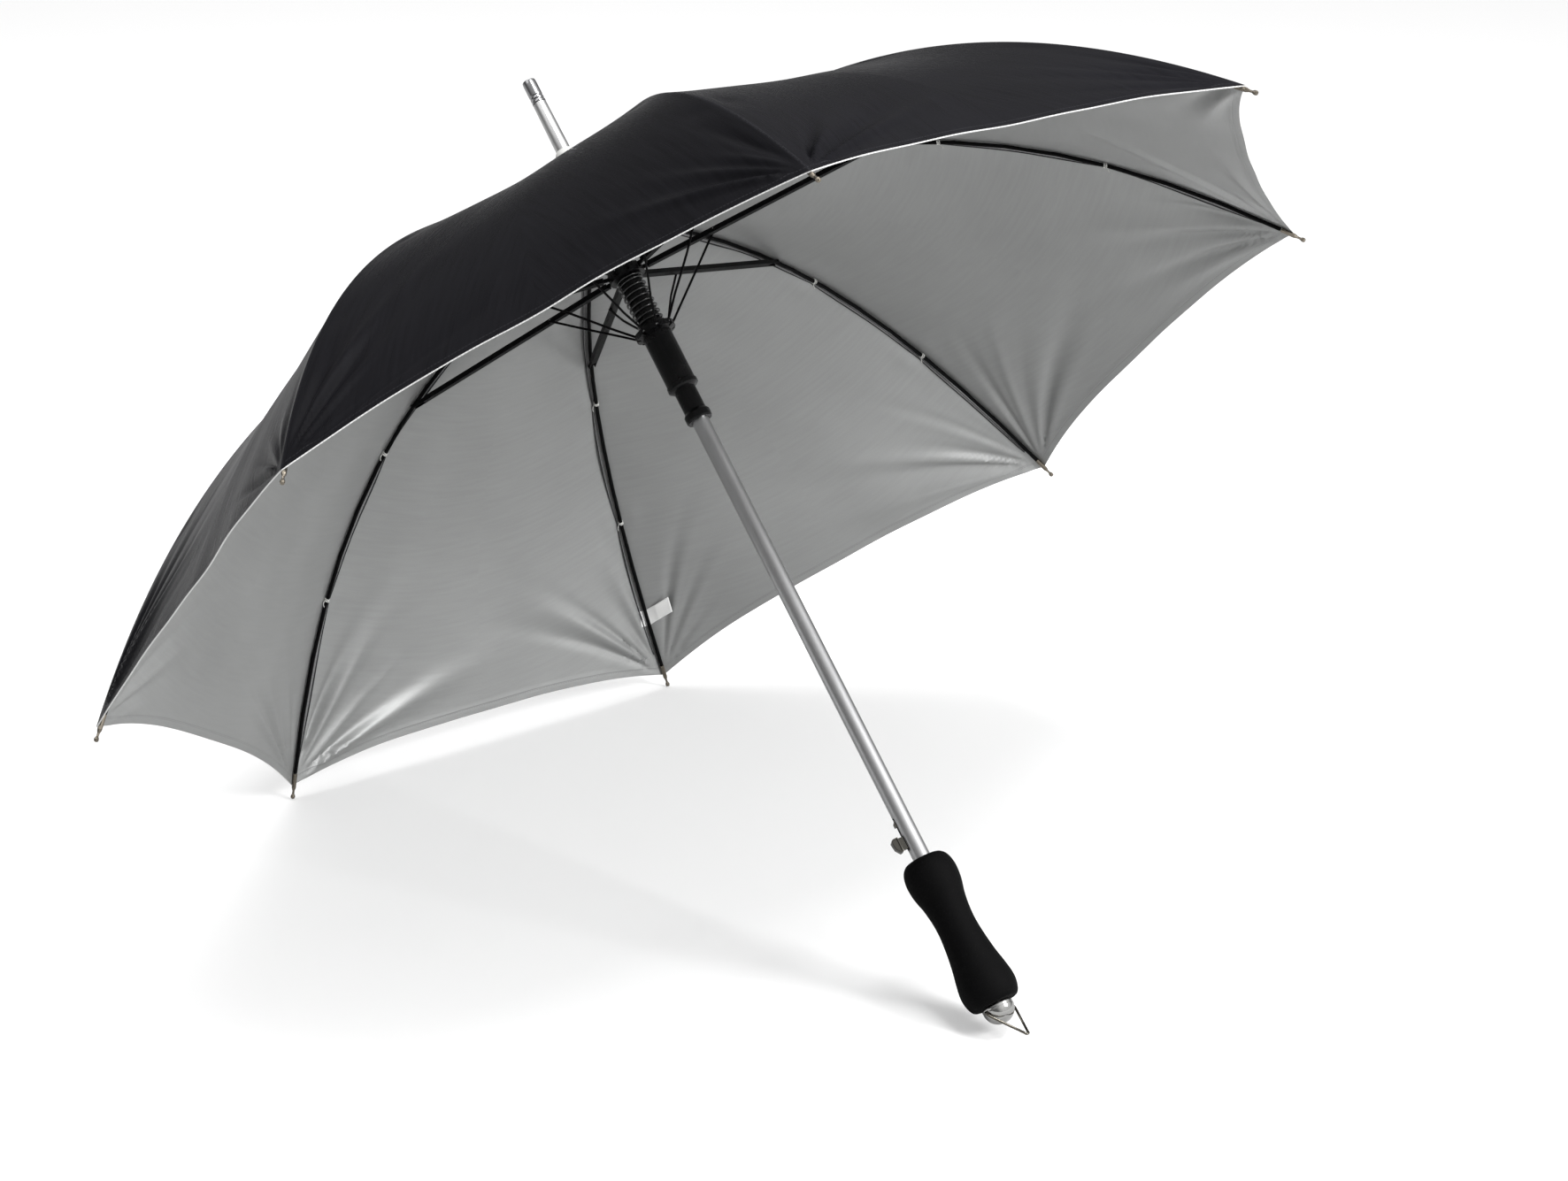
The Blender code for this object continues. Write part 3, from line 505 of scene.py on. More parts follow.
def creases(corner, neighbour):
    """The fan of creases that leaves one corner into the panel towards its neighbour: direction, width, height, reach."""
    rng = np.random.default_rng(100 * corner + neighbour)
    count = 7
    angles = np.linspace(9.0, 74.0, count) + rng.uniform(-4.0, 4.0, count)
    widths = rng.uniform(3.2, 5.4, count)
    heights = rng.uniform(0.25, 1.0, count) * np.where(np.arange(count) % 2, 1.0, -0.9)
    reach = rng.uniform(0.030, 0.105, count)
    return np.radians(angles), np.radians(widths), heights, reach


def fan(corner, neighbour, along, across):
    distance = np.hypot(along, across)
    direction = np.arctan2(across, np.maximum(along, 1e-6))
    total = np.zeros_like(distance)
    bend = 0.035 * np.sin(distance / 0.045 + corner)
    for angle, width, height, reach in zip(*creases(corner, neighbour)):
        ridge = np.exp(-(((direction - angle - bend * distance / 0.1 * 0.4) / width) ** 2))
        total += height * width * distance * 1.75 * ridge * np.exp(-((distance / reach) ** 2))
    return total * soft_step(distance, 0.004, 0.020)


def relief(panel, u, share):
    """Height of the cloth above its smooth form, for a panel from its rib (u 0) to the next (u 1)."""
    width = 2 * R_RIM * share * math.sin(HALF) * math.cos(HALF) * 2 / 2
    width = 2 * R_RIM * share * math.sin(HALF)
    along = (1 - share) * R_RIM * 1.45
    near, far = u * width, (1 - u) * width
    first, second = panel, panel % RIBS + 1
    rng = np.random.default_rng(7 * panel)
    phase = rng.uniform(0, math.tau, 6)
    h = fan(first, second, along, near) + fan(second, first, along, far)
    middle = np.sin(math.pi * u)
    # slack along the hem, and very low tension waves up the panel
    h += 0.0004 * middle * np.exp(-along / 0.045) * np.sin(math.tau * 2.6 * u + phase[0])
    h += 0.0004 * middle * np.exp(-along / 0.10) * np.sin(math.tau * 4.3 * u + phase[1] + along / 0.05)
    h += 0.0007 * middle * np.sin(math.tau * (0.9 * u + 1.3 * share) + phase[2]) * soft_step(share, 0.1, 0.5)
    h += 0.0005 * middle * np.sin(math.tau * (2.2 * u - 2.1 * share) + phase[3])
    # small diagonal pulls where the ties hold the cloth
    for tie in TIES:
        gap = (share - tie) * R_RIM * 1.2
        for edge in (near, far):
            h -= 0.0010 * np.exp(-((gap / 0.016) ** 2)) * np.exp(-((edge - 0.012) / 0.010) ** 2)
    hold = (1 - np.exp(-((near / 0.008) ** 2))) * (1 - np.exp(-((far / 0.008) ** 2)))
    return h * hold


def form(share, side):
    """The smooth canopy in a rib's own frame: x outwards, y towards the previous rib, z up."""
    t = np.abs(side)
    r = R_RIM * share * (1.0 - HEM_CUT * (1.0 - (1.0 - t) ** 2.9) * share ** 3)
    x = r * (1.0 - math.sin(HALF) ** 2 * t)
    y = r * math.sin(HALF) * math.cos(HALF) * side
    ease = 1.0 - (1.0 - t) ** 2
    z = rib_z(r) - ease * (SAG_HEM * share ** 2 + 4.0 * SAG_MID * share * (1.0 - share))
    z = z + 0.010 * np.maximum(0.0, 1.0 - r / 0.040) ** 2
    slope, turn = rib_slope(r), np.arctan2(y, x)
    normal = np.stack([-slope * np.cos(turn), -slope * np.sin(turn), np.ones_like(slope)], -1)
    normal /= np.linalg.norm(normal, axis=-1, keepdims=True)
    return np.stack([x, y, z], -1), normal


ROWS, COLUMNS = 150, 137


def cloth_grid(number):
    """Middle surface, its normals and the texture places of the cloth that hangs on one rib."""
    i = np.linspace(0.0, 1.0, ROWS)
    shares = 0.0140 + (1.0 - 0.0140) * (0.55 * i + 0.45 * (1 - (1 - i) ** 2.0))
    shares = np.sort(np.concatenate([shares[:-6], [0.9795, 0.9835, 0.9868, 0.9912, 0.9956, 1.0]]))
    v = np.linspace(-1.0, 1.0, COLUMNS)
    sides = np.sign(v) * np.abs(v) ** 1.35
    share, side = np.meshgrid(shares, sides, indexing="ij")
    points, normal = form(share, side)
    previous = (number - 2) % RIBS + 1
    u = np.where(side >= 0, 1 - side / 2, -side / 2)
    h = np.where(side >= 0, relief(previous, u, share), relief(number, u, share))
    points = points + normal * (FABRIC_GAP + 0.00035 + h)[..., None]
    # true normals from the finished middle surface, one-sided at the mid-panel edges
    d_row = np.gradient(points, axis=0)
    d_col = np.gradient(points, axis=1)
    n = np.cross(d_row, d_col)
    n /= np.maximum(np.linalg.norm(n, axis=-1, keepdims=True), 1e-12)
    n *= np.sign((n * normal).sum(-1, keepdims=True))
    # at the mid-panel plane both neighbours use the normal's part in that plane
    for column, sign in ((0, -1.0), (-1, 1.0)):
        across = np.array([-math.sin(HALF) * sign, math.cos(HALF), 0.0])
        flat = n[:, column] - (n[:, column] @ across)[:, None] * across
        n[:, column] = flat / np.linalg.norm(flat, axis=-1, keepdims=True)
    steps = np.linalg.norm(np.diff(points, axis=0), axis=-1)
    down = np.concatenate([np.zeros((1, len(sides))), np.cumsum(steps, axis=0)])
    hem = down[-1] - down
    seam = np.abs(points[..., 1])
    return points, n, np.stack([points[..., 1], down], -1), np.stack([seam, hem], -1), share


def gore(number):
    points, normal, weave_uv, place_uv, share = cloth_grid(number)
    rows, columns = points.shape[:2]
    thick = 0.00030
    fold = soft_step(-place_uv[..., 1], -0.0072, -0.0064) * 0.00045    # the hem is turned under
    outer = points + normal * thick
    inner = points - normal * (thick + fold)[..., None]
    co = np.concatenate([outer.reshape(-1, 3), inner.reshape(-1, 3)])
    a = azimuth(number)
    turn = np.array([[math.cos(a), -math.sin(a), 0], [math.sin(a), math.cos(a), 0], [0, 0, 1]])
    co = co @ turn.T
    index = np.arange(rows * columns).reshape(rows, columns)
    quads = np.stack([index[:-1, :-1], index[1:, :-1], index[1:, 1:], index[:-1, 1:]], -1).reshape(-1, 4)
    shift = rows * columns
    faces = [quads, quads[:, [0, 3, 2, 1]] + shift]      # both skins split along the same diagonal
    kinds = [np.zeros(len(quads), int), np.ones(len(quads), int)]

    def wall(line, kind, flip):
        q = np.stack([line[:-1], line[1:], line[1:] + shift, line[:-1] + shift], -1)
        faces.append(q[:, [0, 3, 2, 1]] if flip else q)
        kinds.append(np.full(len(q), kind))

    wall(index[-1], 2, False)
    wall(index[0], 0, True)
    wall(index[:, 0], 0, False)
    wall(index[:, -1], 0, True)
    faces, kinds = np.concatenate(faces), np.concatenate(kinds)
    middle = co.mean(0)
    p, q, r = (co[faces[:, i]] - middle for i in (0, 1, 2))
    if (p * np.cross(q, r)).sum() < 0:
        faces = faces[:, [0, 3, 2, 1]]
    mesh = bpy.data.meshes.new(f"canopy_{number}")
    mesh.from_pydata(co.tolist(), [], faces.tolist())
    for name, uv in (("weave", weave_uv), ("place", place_uv)):
        flat = np.concatenate([uv.reshape(-1, 2)] * 2)
        layer = mesh.uv_layers.new(name=name)
        loops = np.zeros(len(mesh.loops), np.int32)
        mesh.loops.foreach_get("vertex_index", loops)
        layer.uv.foreach_set("vector", flat[loops].astype(np.float32).ravel())
    mesh.polygons.foreach_set("material_index", kinds.astype(np.int32))
    smooth(mesh, 57.0)
    # one flat area for the cloth: the cut's area is the middle surface's, as cloth doesn't stretch
    e1, e2 = points[1:, :-1] - points[:-1, :-1], points[:-1, 1:] - points[:-1, :-1]
    area = float(np.linalg.norm(np.cross(e1, e2), axis=-1).sum())
    return new_object(f"canopy_{number}", mesh, BLACK_CLOTH, SILVER_CLOTH, HEM), area


def local_points(number, points):
    a = azimuth(number)
    turn = Matrix.Rotation(a, 4, "Z")
    return [turn @ Vector(p) for p in points]


def rib_frame(r):
    """Point on the rib's centre line with the directions along and out of it, in the rib's own frame."""
    slope = rib_slope(r)
    along = Vector((1, 0, slope)).normalized()
    return Vector((r, 0, rib_z(r))), along, Vector((-along.z, 0, along.x))


def seam_strip(number):
    """The two raw edges of a seam, sewn together: they stand beside the rib and bow out between the ties."""
    rng = np.random.default_rng(40 + number)
    lean = 1.0 if number in (3, 4, 5) else -1.0
    lean = -1.0 if number in (1, 2) else lean
    stations = np.linspace(0.030, 0.505, 120)
    stops = [0.030, TIES[0] * R_RIM, TIES[1] * R_RIM, 0.505]
    rows = []
    phase = rng.uniform(0, math.tau, 3)
    for r in stations:
        p, along, out = rib_frame(float(r))
        k = max(i for i, s in enumerate(stops[:-1]) if r >= s - 1e-9)
        t = (r - stops[k]) / (stops[k + 1] - stops[k])
        bow = math.sin(math.pi * min(max(t, 0.0), 1.0)) ** 0.6
        reach = 0.0026 + 0.0022 * bow + 0.0004 * math.sin(r / 0.021 + phase[0])
        wave = 0.0004 * math.sin(r / 0.013 + phase[1])
        root = p + out * (FABRIC_GAP - 0.00015) + Vector((0, lean * 0.0014, 0))
        line = []
        for j in range(7):
            s = j / 6
            line.append(root + Vector((0, lean, 0)) * (reach * s * 0.92) + out * (-(reach * 0.55 + wave) * s * s - 0.0006 * s))
        rows.append(line)
    work = bmesh.new()
    weave_layer = work.loops.layers.uv.new("weave")
    place_layer = work.loops.layers.uv.new("place")
    grid = [[work.verts.new(v) for v in local_points(number, line)] for line in rows]
    for i in range(len(grid) - 1):
        for j in range(6):
            face = work.faces.new((grid[i][j], grid[i + 1][j], grid[i + 1][j + 1], grid[i][j + 1]))
            for loop, (a, b) in zip(face.loops, ((i, j), (i + 1, j), (i + 1, j + 1), (i, j + 1))):
                loop[weave_layer].uv = (b * 0.001, float(stations[a]))
                loop[place_layer].uv = (b / 6, float(stations[a]))
            face.smooth = True
    mesh = bpy.data.meshes.new(f"seam_{number}")
    work.to_mesh(mesh)
    work.free()
    made = new_object(f"seam_{number}", mesh, SEAM)
    shell = made.modifiers.new("thickness", "SOLIDIFY")
    shell.thickness = 0.0003
    shell.offset = 0.0
    bpy.context.view_layer.update()
    done = bpy.data.meshes.new_from_object(made.evaluated_get(bpy.context.evaluated_depsgraph_get()))
    made.modifiers.clear()
    made.data = done
    return made


def tie(number, which):
    """A few turns of sewing thread that hold the cloth to the rib, with a short cut end."""
    r = TIES[which] * R_RIM
    p, along, out = rib_frame(r)
    side = Vector((0, 1, 0))
    points = []
    turns, per = 4, 14
    for i in range(turns * per + 1):
        a = math.tau * i / per
        s = i / (turns * per)
        lift = 0.0007 * max(0.0, math.sin(a))
        radius = RIB_R + 0.00035
        points.append(p + along * (-0.0014 + 0.0028 * s + 0.0003 * math.sin(a * 1.7)) + side * (math.cos(a) * radius) + out * (math.sin(a) * radius + lift * 0.2))
    end = points[-1]
    points += [end + side * 0.0010 + out * 0.0002 + along * 0.0012, end + side * 0.0022 - out * 0.0012 + along * 0.0030, end + side * 0.0026 - out * 0.0030 + along * 0.0042]
    made = tube(f"tie_{number}_{which + 1}", local_points(number, points), 0.00034, THREAD, 7)
    return made


# The cut, from the frame alone: a panel is as wide as the gap between two ribs, measured along its own middle,
# less the scallop of the hem. It doesn't look at the modelled cloth, so the two can be compared.
steps = np.linspace(0.0, R_RIM, 2001)
mids = (steps[1:] + steps[:-1]) / 2
slopes = np.array([rib_slope(float(r)) for r in mids])
dr = R_RIM / 2000
flat_width = round(2 * R_RIM * math.sin(math.pi / RIBS), 4)
cut_area = float((2 * mids * math.sin(math.pi / RIBS) * np.sqrt(math.cos(math.pi / RIBS) ** 2 + slopes ** 2) * dr).sum())
cut_area -= flat_width * R_RIM * HEM_CUT * (1 - 1 / 3.9)      # the scallop's depth is a share of the radius
for number in range(1, RIBS + 1):
    cloth, area = gore(number)
    print(f"canopy_{number} modelled {area:.4f} m2, cut {cut_area:.4f} m2, ratio {area / cut_area:.3f}")
    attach(cloth, f"rib_{number}")
    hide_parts(f"canopy_gore_{number}")
    strip = seam_strip(number)
    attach(strip, f"rib_{number}")
    knots = [tie(number, which) for which in range(2)]
    for knot in knots:
        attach(knot, f"rib_{number}")
    a = azimuth(number)
    for piece in (cloth, strip, *knots):
        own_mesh(piece)


# ------------------------------------------------------------------------------------- care label
def care_label():
    """Blank woven tab, caught in rib 3's seam: it passes behind the rib and lies along the inside of both panels."""
    wide, tall, share = (-0.0225, 0.0075), 0.0145, 0.925
    n_across, n_up = 30, 12
    work = bmesh.new()
    layer = work.loops.layers.uv.new("weave")
    grid = []
    for i in range(n_across + 1):
        y = wide[0] + (wide[1] - wide[0]) * i / n_across
        line = []
        for j in range(n_up + 1):
            s = share + (j / n_up - 0.5) * tall / R_RIM / 1.32
            half = R_RIM * s * math.sin(HALF) * math.cos(HALF)
            p, n = form(np.array(s), np.array(y / half))
            away = 0.0011 + 0.0030 * max(0.0, (abs(y) - 0.004) / 0.02) ** 1.3
            curl = 0.0009 * math.sin(3.0 * j / n_up + y * 160) * min(1.0, abs(y) / 0.008)
            q = Vector(p) + Vector(n) * (FABRIC_GAP - 0.0002 - (away if abs(y) > 0.0035 else 0.0) * min(1.0, (abs(y) - 0.0035) / 0.006 if abs(y) > 0.0035 else 0.0) + curl * 0.5)
            line.append(q)
        grid.append([work.verts.new(v) for v in local_points(3, line)])
    for i in range(n_across):
        for j in range(n_up):
            face = work.faces.new((grid[i][j], grid[i + 1][j], grid[i + 1][j + 1], grid[i][j + 1]))
            for loop, (a, b) in zip(face.loops, ((i, j), (i + 1, j), (i + 1, j + 1), (i, j + 1))):
                loop[layer].uv = (a * (wide[1] - wide[0]) / n_across, b * tall / n_up)
            face.smooth = True
    mesh = bpy.data.meshes.new("label_tab")
    work.to_mesh(mesh)
    work.free()
    made = new_object("label_tab", mesh, RIBBON)
    shell = made.modifiers.new("thickness", "SOLIDIFY")
    shell.thickness = 0.00024
    shell.offset = 0.0
    return made, (wide[1] - wide[0], tall)


label, label_flat = care_label()
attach(label, "rib_3")
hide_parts("care_label")
a = azimuth(3)      # the tab folds up with the cloth that it's sewn to
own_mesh(label)

# ------------------------------------------------------------------------------- shaft and fittings
shaft = lathe("shaft_fine", [(SHAFT_R - 0.0010, Z_CROWN + 0.0055), (SHAFT_R, Z_CROWN + 0.0055), (SHAFT_R, Z_GRIP_TOP - 0.004), (SHAFT_R, Z_RIM - 0.4560), (SHAFT_R - 0.0010, Z_RIM - 0.4560)], ALUMINIUM, 96)
slot_cut = bpy.data.objects.new("slot_cut", bpy.data.meshes.new("slot_cut"))
work = bmesh.new()
bmesh.ops.create_cube(work, size=1.0)
low, high = Vector((-0.0100, -0.0023, Z_RIM - 0.3345)), Vector((-0.0030, 0.0023, Z_RIM - 0.3040))
for v in work.verts:
    v.co = Vector([a + (b - a) * (c + 0.5) for a, b, c in zip(low, high, v.co)])
bmesh.ops.bevel(work, geom=[e for e in work.edges if abs((e.verts[0].co - e.verts[1].co).normalized().x) > 0.9], offset=0.0018, segments=5, affect="EDGES")
work.to_mesh(slot_cut.data)
work.free()
bpy.context.scene.collection.objects.link(slot_cut)
cut = shaft.modifiers.new("slot", "BOOLEAN")
cut.operation, cut.solver, cut.object = "DIFFERENCE", "EXACT", slot_cut
bpy.context.view_layer.update()
done = bpy.data.meshes.new_from_object(shaft.evaluated_get(bpy.context.evaluated_depsgraph_get()))
shaft.modifiers.clear()
shaft.data = done
smooth(done, 30.0)
bpy.data.objects.remove(slot_cut, do_unlink=True)
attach(shaft, "shaft")
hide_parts("shaft_tube")

z1 = Z_CROWN + 0.0058
ferrule = lathe("ferrule_fine", rounded([(0.0, Z_CAP - 0.0003), (0.0056, Z_CAP - 0.0003), (0.0061, Z_CAP - 0.040), (0.0062, z1), (0.0, z1)], 0.0004), FERRULE, 72, closed=False)
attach(ferrule, "shaft")
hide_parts("ferrule_tube")
top = Z_FERRULE_TOP
cap_profile = [(0.0, top), (0.0051, top), (0.0055, top - 0.0005), (0.0057, top - 0.0030), (0.0057, Z_CAP + 0.0066),
               (0.0052, Z_CAP + 0.0061), (0.0052, Z_CAP + 0.0053), (0.0057, Z_CAP + 0.0048), (0.0057, Z_CAP + 0.0034),
               (0.0052, Z_CAP + 0.0029), (0.0052, Z_CAP + 0.0021), (0.0057, Z_CAP + 0.0016), (0.0058, Z_CAP), (0.0, Z_CAP)]
cap = lathe("ferrule_cap_fine", rounded(cap_profile, 0.0004, 3), CAP, 72, closed=False)
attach(cap, "shaft")
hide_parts("ferrule_cap")
zr = Z_ROSETTE
foot = Z_RIM + 0.2492
outside = [(0.0068, zr + 0.0040), (0.0080, zr + 0.0022), (0.0092, zr - 0.0010), (0.0098, zr - 0.0075), (0.0104, zr - 0.0220), (0.0113, zr - 0.0360), (0.0130, zr - 0.0455)]
flare = [(p.x, p.y) for p in catmull([(r, z, 0) for r, z in outside], 8)]
flare += rounded([(0.0131, zr - 0.0459), (0.0134, foot + 0.0004), (0.0132, foot), (0.0122, foot), (0.0120, foot + 0.0006)], 0.0003, 3)
rosette = lathe("rosette_fine", flare + [(0.0100, zr - 0.0360), (0.0066, zr - 0.0300), (0.0066, zr + 0.0038)], PALE, 72)
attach(rosette, "shaft")
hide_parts("rosette_cup")


# ---------------------------------------------------------------------------------- grip and ball
def monotone(points, per=14):
    """A smooth profile through (radius, distance) points."""
    return [(p.x, p.y) for p in catmull([(r, s, 0) for r, s in points], per)]


outer = [(0.0088, 0.0000), (0.0128, 0.0004), (0.0156, 0.0018), (0.0184, 0.0052), (0.0202, 0.0110), (0.0207, 0.0180),
         (0.0197, 0.0275), (0.0173, 0.0375), (0.0157, 0.0490), (0.0153, 0.0605), (0.0163, 0.0735),
         (0.0182, 0.0875), (0.0205, 0.0990), (0.0221, 0.1090), (0.0220, 0.1160), (0.0204, 0.1222), (0.0180, 0.1257), (0.0145, 0.1268)]
length = Z_GRIP_TOP - Z_GRIP_END
grip_profile = [(r, Z_GRIP_TOP - s * length / 0.127) for r, s in monotone(outer)]
grip_profile += [(0.0128, Z_GRIP_END + 0.0006), (SHAFT_R + 0.0003, Z_GRIP_END + 0.0010), (SHAFT_R + 0.0003, Z_GRIP_TOP - 0.0003)]
grip = lathe("grip_fine", grip_profile, FOAM, 96)
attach(grip, "shaft")
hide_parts("hand_grip")

hidden = math.acos(min(1.0, (Z_GRIP_END - 0.0006 - Z_BALL) / BALL_R))
ball_profile = [(0.0, Z_RIM - 0.4440), (SHAFT_R - 0.0013, Z_RIM - 0.4440), (SHAFT_R - 0.0013, Z_BALL + BALL_R * math.cos(hidden))]
for i in range(41):
    a = hidden + (math.radians(162) - hidden) * i / 40
    # a fine turned line round the middle, where the two halves of the ball meet
    r = BALL_R - 0.00022 * math.exp(-((a - math.radians(90)) / 0.035) ** 2)
    ball_profile.append((r * math.sin(a), Z_BALL + r * math.cos(a)))
ball_profile.append((0.0, ball_profile[-1][1]))
ball = lathe("ball_fine", ball_profile, STEEL, 96, closed=False)
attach(ball, "shaft")
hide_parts("ball_end")

side_angle, swing, loop_length, wire = math.radians(28.0), math.radians(29.7), 0.0326, 0.0010
side = Vector((math.cos(side_angle), math.sin(side_angle), 0))
out = Vector((math.sin(side_angle), -math.cos(side_angle), 0))
way = (Vector((0, 0, -1)) * math.cos(swing) + out * math.sin(swing)).normalized()
half = BALL_R + 0.0016
left = [side * -0.0080, side * -(half - 0.0024), side * -(half - 0.0004) + way * 0.0004, side * -half + way * 0.0018, side * -(half - 0.0012) + way * 0.0062]
apex = [side * (-0.0018 * math.cos(math.pi * i / 8)) + way * (loop_length - 0.0018 + 0.0018 * math.sin(math.pi * i / 8)) for i in range(9)]
right = [p - 2 * side * p.dot(side) for p in reversed(left)]
centre = Vector((0, 0, Z_BALL))
path = catmull(left, 6) + [left[-1].lerp(apex[0], t) for t in (0.3, 0.6)] + catmull(apex, 3) + [right[0].lerp(apex[-1], t) for t in (0.6, 0.3)] + catmull(right, 6)
clean = [path[0]]
for p in path[1:]:
    if (p - clean[-1]).length > 2e-4:
        clean.append(p)
loop = tube("loop_fine", [centre + p for p in clean], wire * 1.04, LOOP, 14)
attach(loop, "wire_loop")
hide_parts("wire_loop")

# -------------------------------------------------------------------------------- spring and runner
coil_low, coil_high, turns, per = Z_RING + 0.0073, Z_HUB - 0.0057, 9, 40
count = turns * per
points = []
for i in range(count + 1):
    s = i / count
    rise = min(max((s - 0.10) / 0.80, 0.0), 1.0)
    lead = 0.0019 * (min(s, 0.10) / 0.10 + max(s - 0.90, 0.0) / 0.10)
    a = math.tau * turns * s
    points.append((0.0105 * math.cos(a), 0.0105 * math.sin(a), coil_low + lead + (coil_high - coil_low - 0.0038) * rise))
spring = tube("spring_fine", points, 0.00095, SPRING_BLACK, 10)
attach(spring, "runner")
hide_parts("opening_spring")
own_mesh(spring)      # 41 mm open, 9 mm folded

# ------------------------------------------------------------------------------------ thumb button
def thumb_button():
    """Folded sheet steel: a bevelled head with a recess in each cheek, on a flat stem that enters the shaft's slot."""
    zb = Z_BUTTON
    head = [(-0.0108, 0.0062), (-0.0150, 0.0058), (-0.0168, 0.0036), (-0.0161, -0.0022), (-0.0130, -0.0064), (-0.0108, -0.0060)]
    half = 0.0033
    work = bmesh.new()
    rings = [[work.verts.new((x, y, zb + z)) for x, z in head] for y in (-half, half)]
    cheeks = [work.faces.new(rings[0]), work.faces.new(list(reversed(rings[1])))]
    for i in range(len(head)):
        j = (i + 1) % len(head)
        work.faces.new((rings[0][j], rings[0][i], rings[1][i], rings[1][j]))
    bmesh.ops.recalc_face_normals(work, faces=work.faces)
    rim = list(work.edges)
    bmesh.ops.inset_region(work, faces=cheeks, thickness=0.0011, depth=0.0)
    inner = bmesh.ops.inset_region(work, faces=cheeks, thickness=0.0002, depth=-0.0012)
    assert inner is not None
    bmesh.ops.bevel(work, geom=[e for e in rim if e.is_valid], offset=0.00035, segments=2, affect="EDGES", profile=0.6)
    stem = bmesh.ops.create_cube(work, size=1.0)["verts"]
    low, high = Vector((-0.0112, -0.0018, zb - 0.0050)), Vector((-0.0042, 0.0018, zb + 0.0050))
    for v in stem:
        v.co = Vector([a + (b - a) * (c + 0.5) for a, b, c in zip(low, high, v.co)])
    mesh = bpy.data.meshes.new("button_fine")
    work.to_mesh(mesh)
    work.free()
    smooth(mesh, 25.0)
    return new_object("button_fine", mesh, CLIP)


button = thumb_button()
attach(button, "release_button")
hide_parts("release_button")

# -------------------------------------------------------------------- materials of the CAD's nodes
for number in range(1, RIBS + 1):
    dress(f"rib_{number}", ENAMEL)
    dress(f"stretcher_{number}", ENAMEL)
    dress(f"wire_link_{number}", ENAMEL)
    dress(f"rib_tip_{number}", SLEEVE)
dress("crown", CROWN_BLACK)
dress("upper_slide", CROWN_BLACK)
dress("runner", RUNNER_BLACK)
dress("crown_wire", RING)
dress("upper_slide_wire", RING)
dress("runner_wire", RING)
dress("latch_spring", ENAMEL)
dress("runner_catch", CLIP)

# -------------------------------------------------------------------------------- floor and light
NORMAL = Vector((0.27168, -0.65589, 0.70427)).normalized()
lowest = min((v.co @ NORMAL for o in NODES.values() for v in o.data.vertices), default=-0.07)
floor_mesh = bpy.data.meshes.new("floor")
work = bmesh.new()
bmesh.ops.create_circle(work, cap_ends=True, segments=64, radius=30.0)
tilt = NORMAL.to_track_quat("Z", "Y").to_matrix().to_4x4()
bmesh.ops.transform(work, matrix=Matrix.Translation(NORMAL * (lowest - 0.0006)) @ tilt, verts=work.verts)
work.to_mesh(floor_mesh)
work.free()
floor = new_object("floor", floor_mesh)
f = Finish("floor_white")
f.tree.nodes.remove(f.shader)
# a light table: it glows a little towards the camera, and bounces like plain pale card
card = f.node("ShaderNodeBsdfDiffuse", {"Color": (0.68, 0.68, 0.68, 1.0)})
glow = f.node("ShaderNodeEmission", {"Color": (1.0, 1.0, 1.0, 1.0), "Strength": 0.30})
both = f.node("ShaderNodeAddShader", {0: card.outputs[0], 1: glow.outputs[0]})
bounce = f.node("ShaderNodeBsdfDiffuse", {"Color": (0.56, 0.56, 0.56, 1.0)})
white = f.node("ShaderNodeMixShader", {0: f.node("ShaderNodeLightPath").outputs["Is Camera Ray"], 1: bounce.outputs[0], 2: both.outputs[0]})
clear = f.node("ShaderNodeBsdfTransparent")
which = f.node("ShaderNodeNewGeometry").outputs["Backfacing"]
mixed = f.node("ShaderNodeMixShader", {0: which, 1: white.outputs[0], 2: clear.outputs[0]})
f.tree.links.new(mixed.outputs[0], f.out.inputs[0])
floor_mesh.materials.append(f.mat)
floor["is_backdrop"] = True

world = bpy.data.worlds.new("studio")
bpy.context.scene.world = world
world.use_nodes = True
sky = world.node_tree
sky.nodes.clear()


def sky_node(kind, inputs=None, **settings):
    made = sky.nodes.new(kind)
    for key, value in settings.items():
        setattr(made, key, value)
    for key, value in (inputs or {}).items():
        if isinstance(value, bpy.types.NodeSocket):
            sky.links.new(value, made.inputs[key])
        else:
            made.inputs[key].default_value = value
    return made


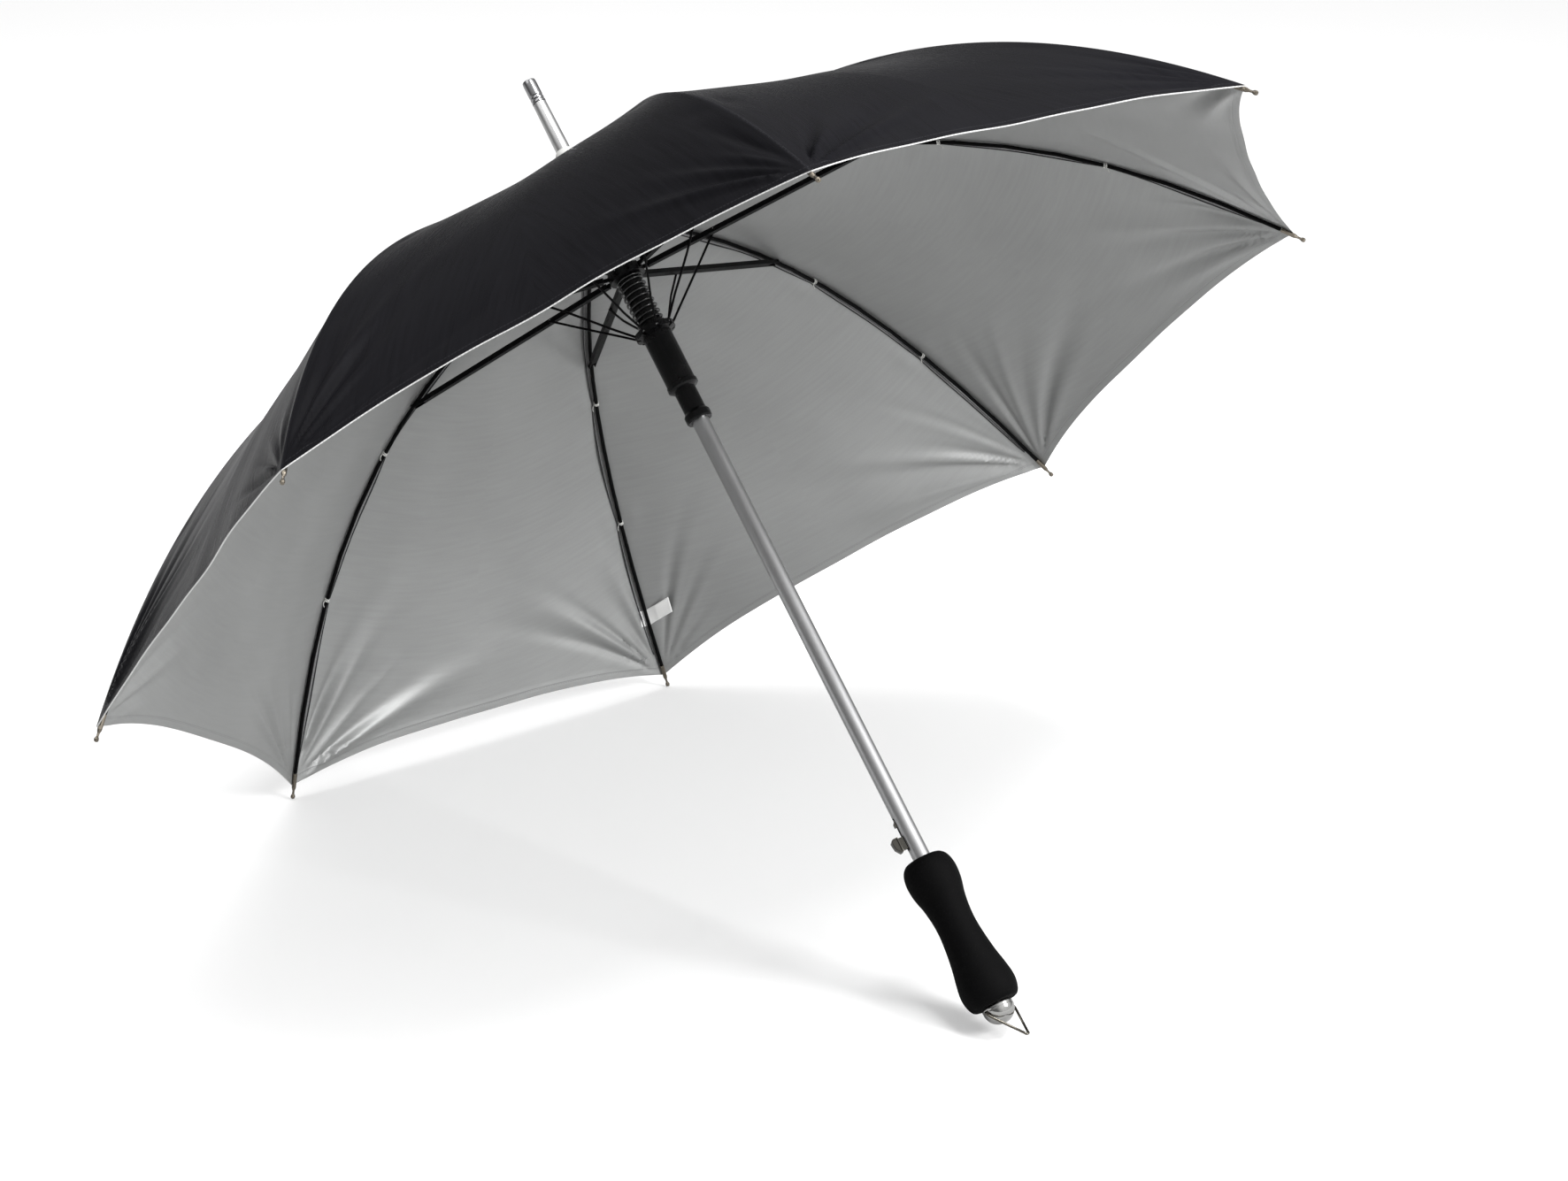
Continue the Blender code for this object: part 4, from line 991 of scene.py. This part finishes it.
# a pale tent: brighter over the floor's side, dim round the horizon; the camera sees plain white
toward = sky_node("ShaderNodeVectorMath", {0: sky_node("ShaderNodeTexCoord").outputs["Generated"], 1: tuple(NORMAL)}, operation="DOT_PRODUCT").outputs["Value"]
tent = sky_node("ShaderNodeMapRange", {"Value": toward, "From Min": 0.05, "From Max": 0.95, "To Min": 0.15, "To Max": 0.62})
tent.interpolation_type = "SMOOTHSTEP"
ahead = tuple((BACK * 0.60 + RIGHT + NORMAL * 0.25).normalized())
facing = sky_node("ShaderNodeVectorMath", {0: sky_node("ShaderNodeTexCoord").outputs["Generated"], 1: ahead}, operation="DOT_PRODUCT").outputs["Value"]
wall = sky_node("ShaderNodeMapRange", {"Value": facing, "From Min": 0.35, "From Max": 0.95, "To Min": 0.0, "To Max": 0.80})
wall.interpolation_type = "SMOOTHSTEP"
total = sky_node("ShaderNodeMath", {0: tent.outputs["Result"], 1: wall.outputs["Result"]}, operation="ADD").outputs[0]
lit = sky_node("ShaderNodeBackground", {"Color": (1.0, 1.0, 1.0, 1.0), "Strength": total})
seen = sky_node("ShaderNodeBackground", {"Color": (1.0, 1.0, 1.0, 1.0), "Strength": 1.0})
which = sky_node("ShaderNodeLightPath").outputs["Is Camera Ray"]
blend = sky_node("ShaderNodeMixShader", {0: which, 1: lit.outputs[0], 2: seen.outputs[0]})
sky.links.new(blend.outputs[0], sky_node("ShaderNodeOutputWorld").inputs[0])
MIDDLE = Vector((0.0, 0.0, 0.35))


def softbox(name, direction, distance, size, power):
    lamp = bpy.data.lights.new(name, "AREA")
    lamp.shape, lamp.size, lamp.size_y, lamp.energy = "RECTANGLE", size[0], size[1], power
    made = bpy.data.objects.new(name, lamp)
    bpy.context.scene.collection.objects.link(made)
    direction = direction.normalized()
    made.location = MIDDLE + direction * distance
    made.rotation_mode = "QUATERNION"
    made.rotation_quaternion = direction.to_track_quat("Z", "Y")
    return made


softbox("key", NORMAL * 1.0 + RIGHT * 0.26 + BACK * 0.14, 3.2, (1.0, 1.0), 74.0)
softbox("front", RIGHT * 1.0 + NORMAL * 0.40 + BACK * 0.50, 3.2, (1.0, 1.0), 84.0)
softbox("top", NORMAL * 1.0 - BACK * 0.20 - RIGHT * 0.30, 3.4, (1.8, 1.8), 34.0)
softbox("fill", NORMAL * 0.9 - RIGHT * 0.80 + BACK * 0.25, 3.6, (1.8, 1.8), 12.0)
bpy.context.scene.view_settings.view_transform = "Standard"

low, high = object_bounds()
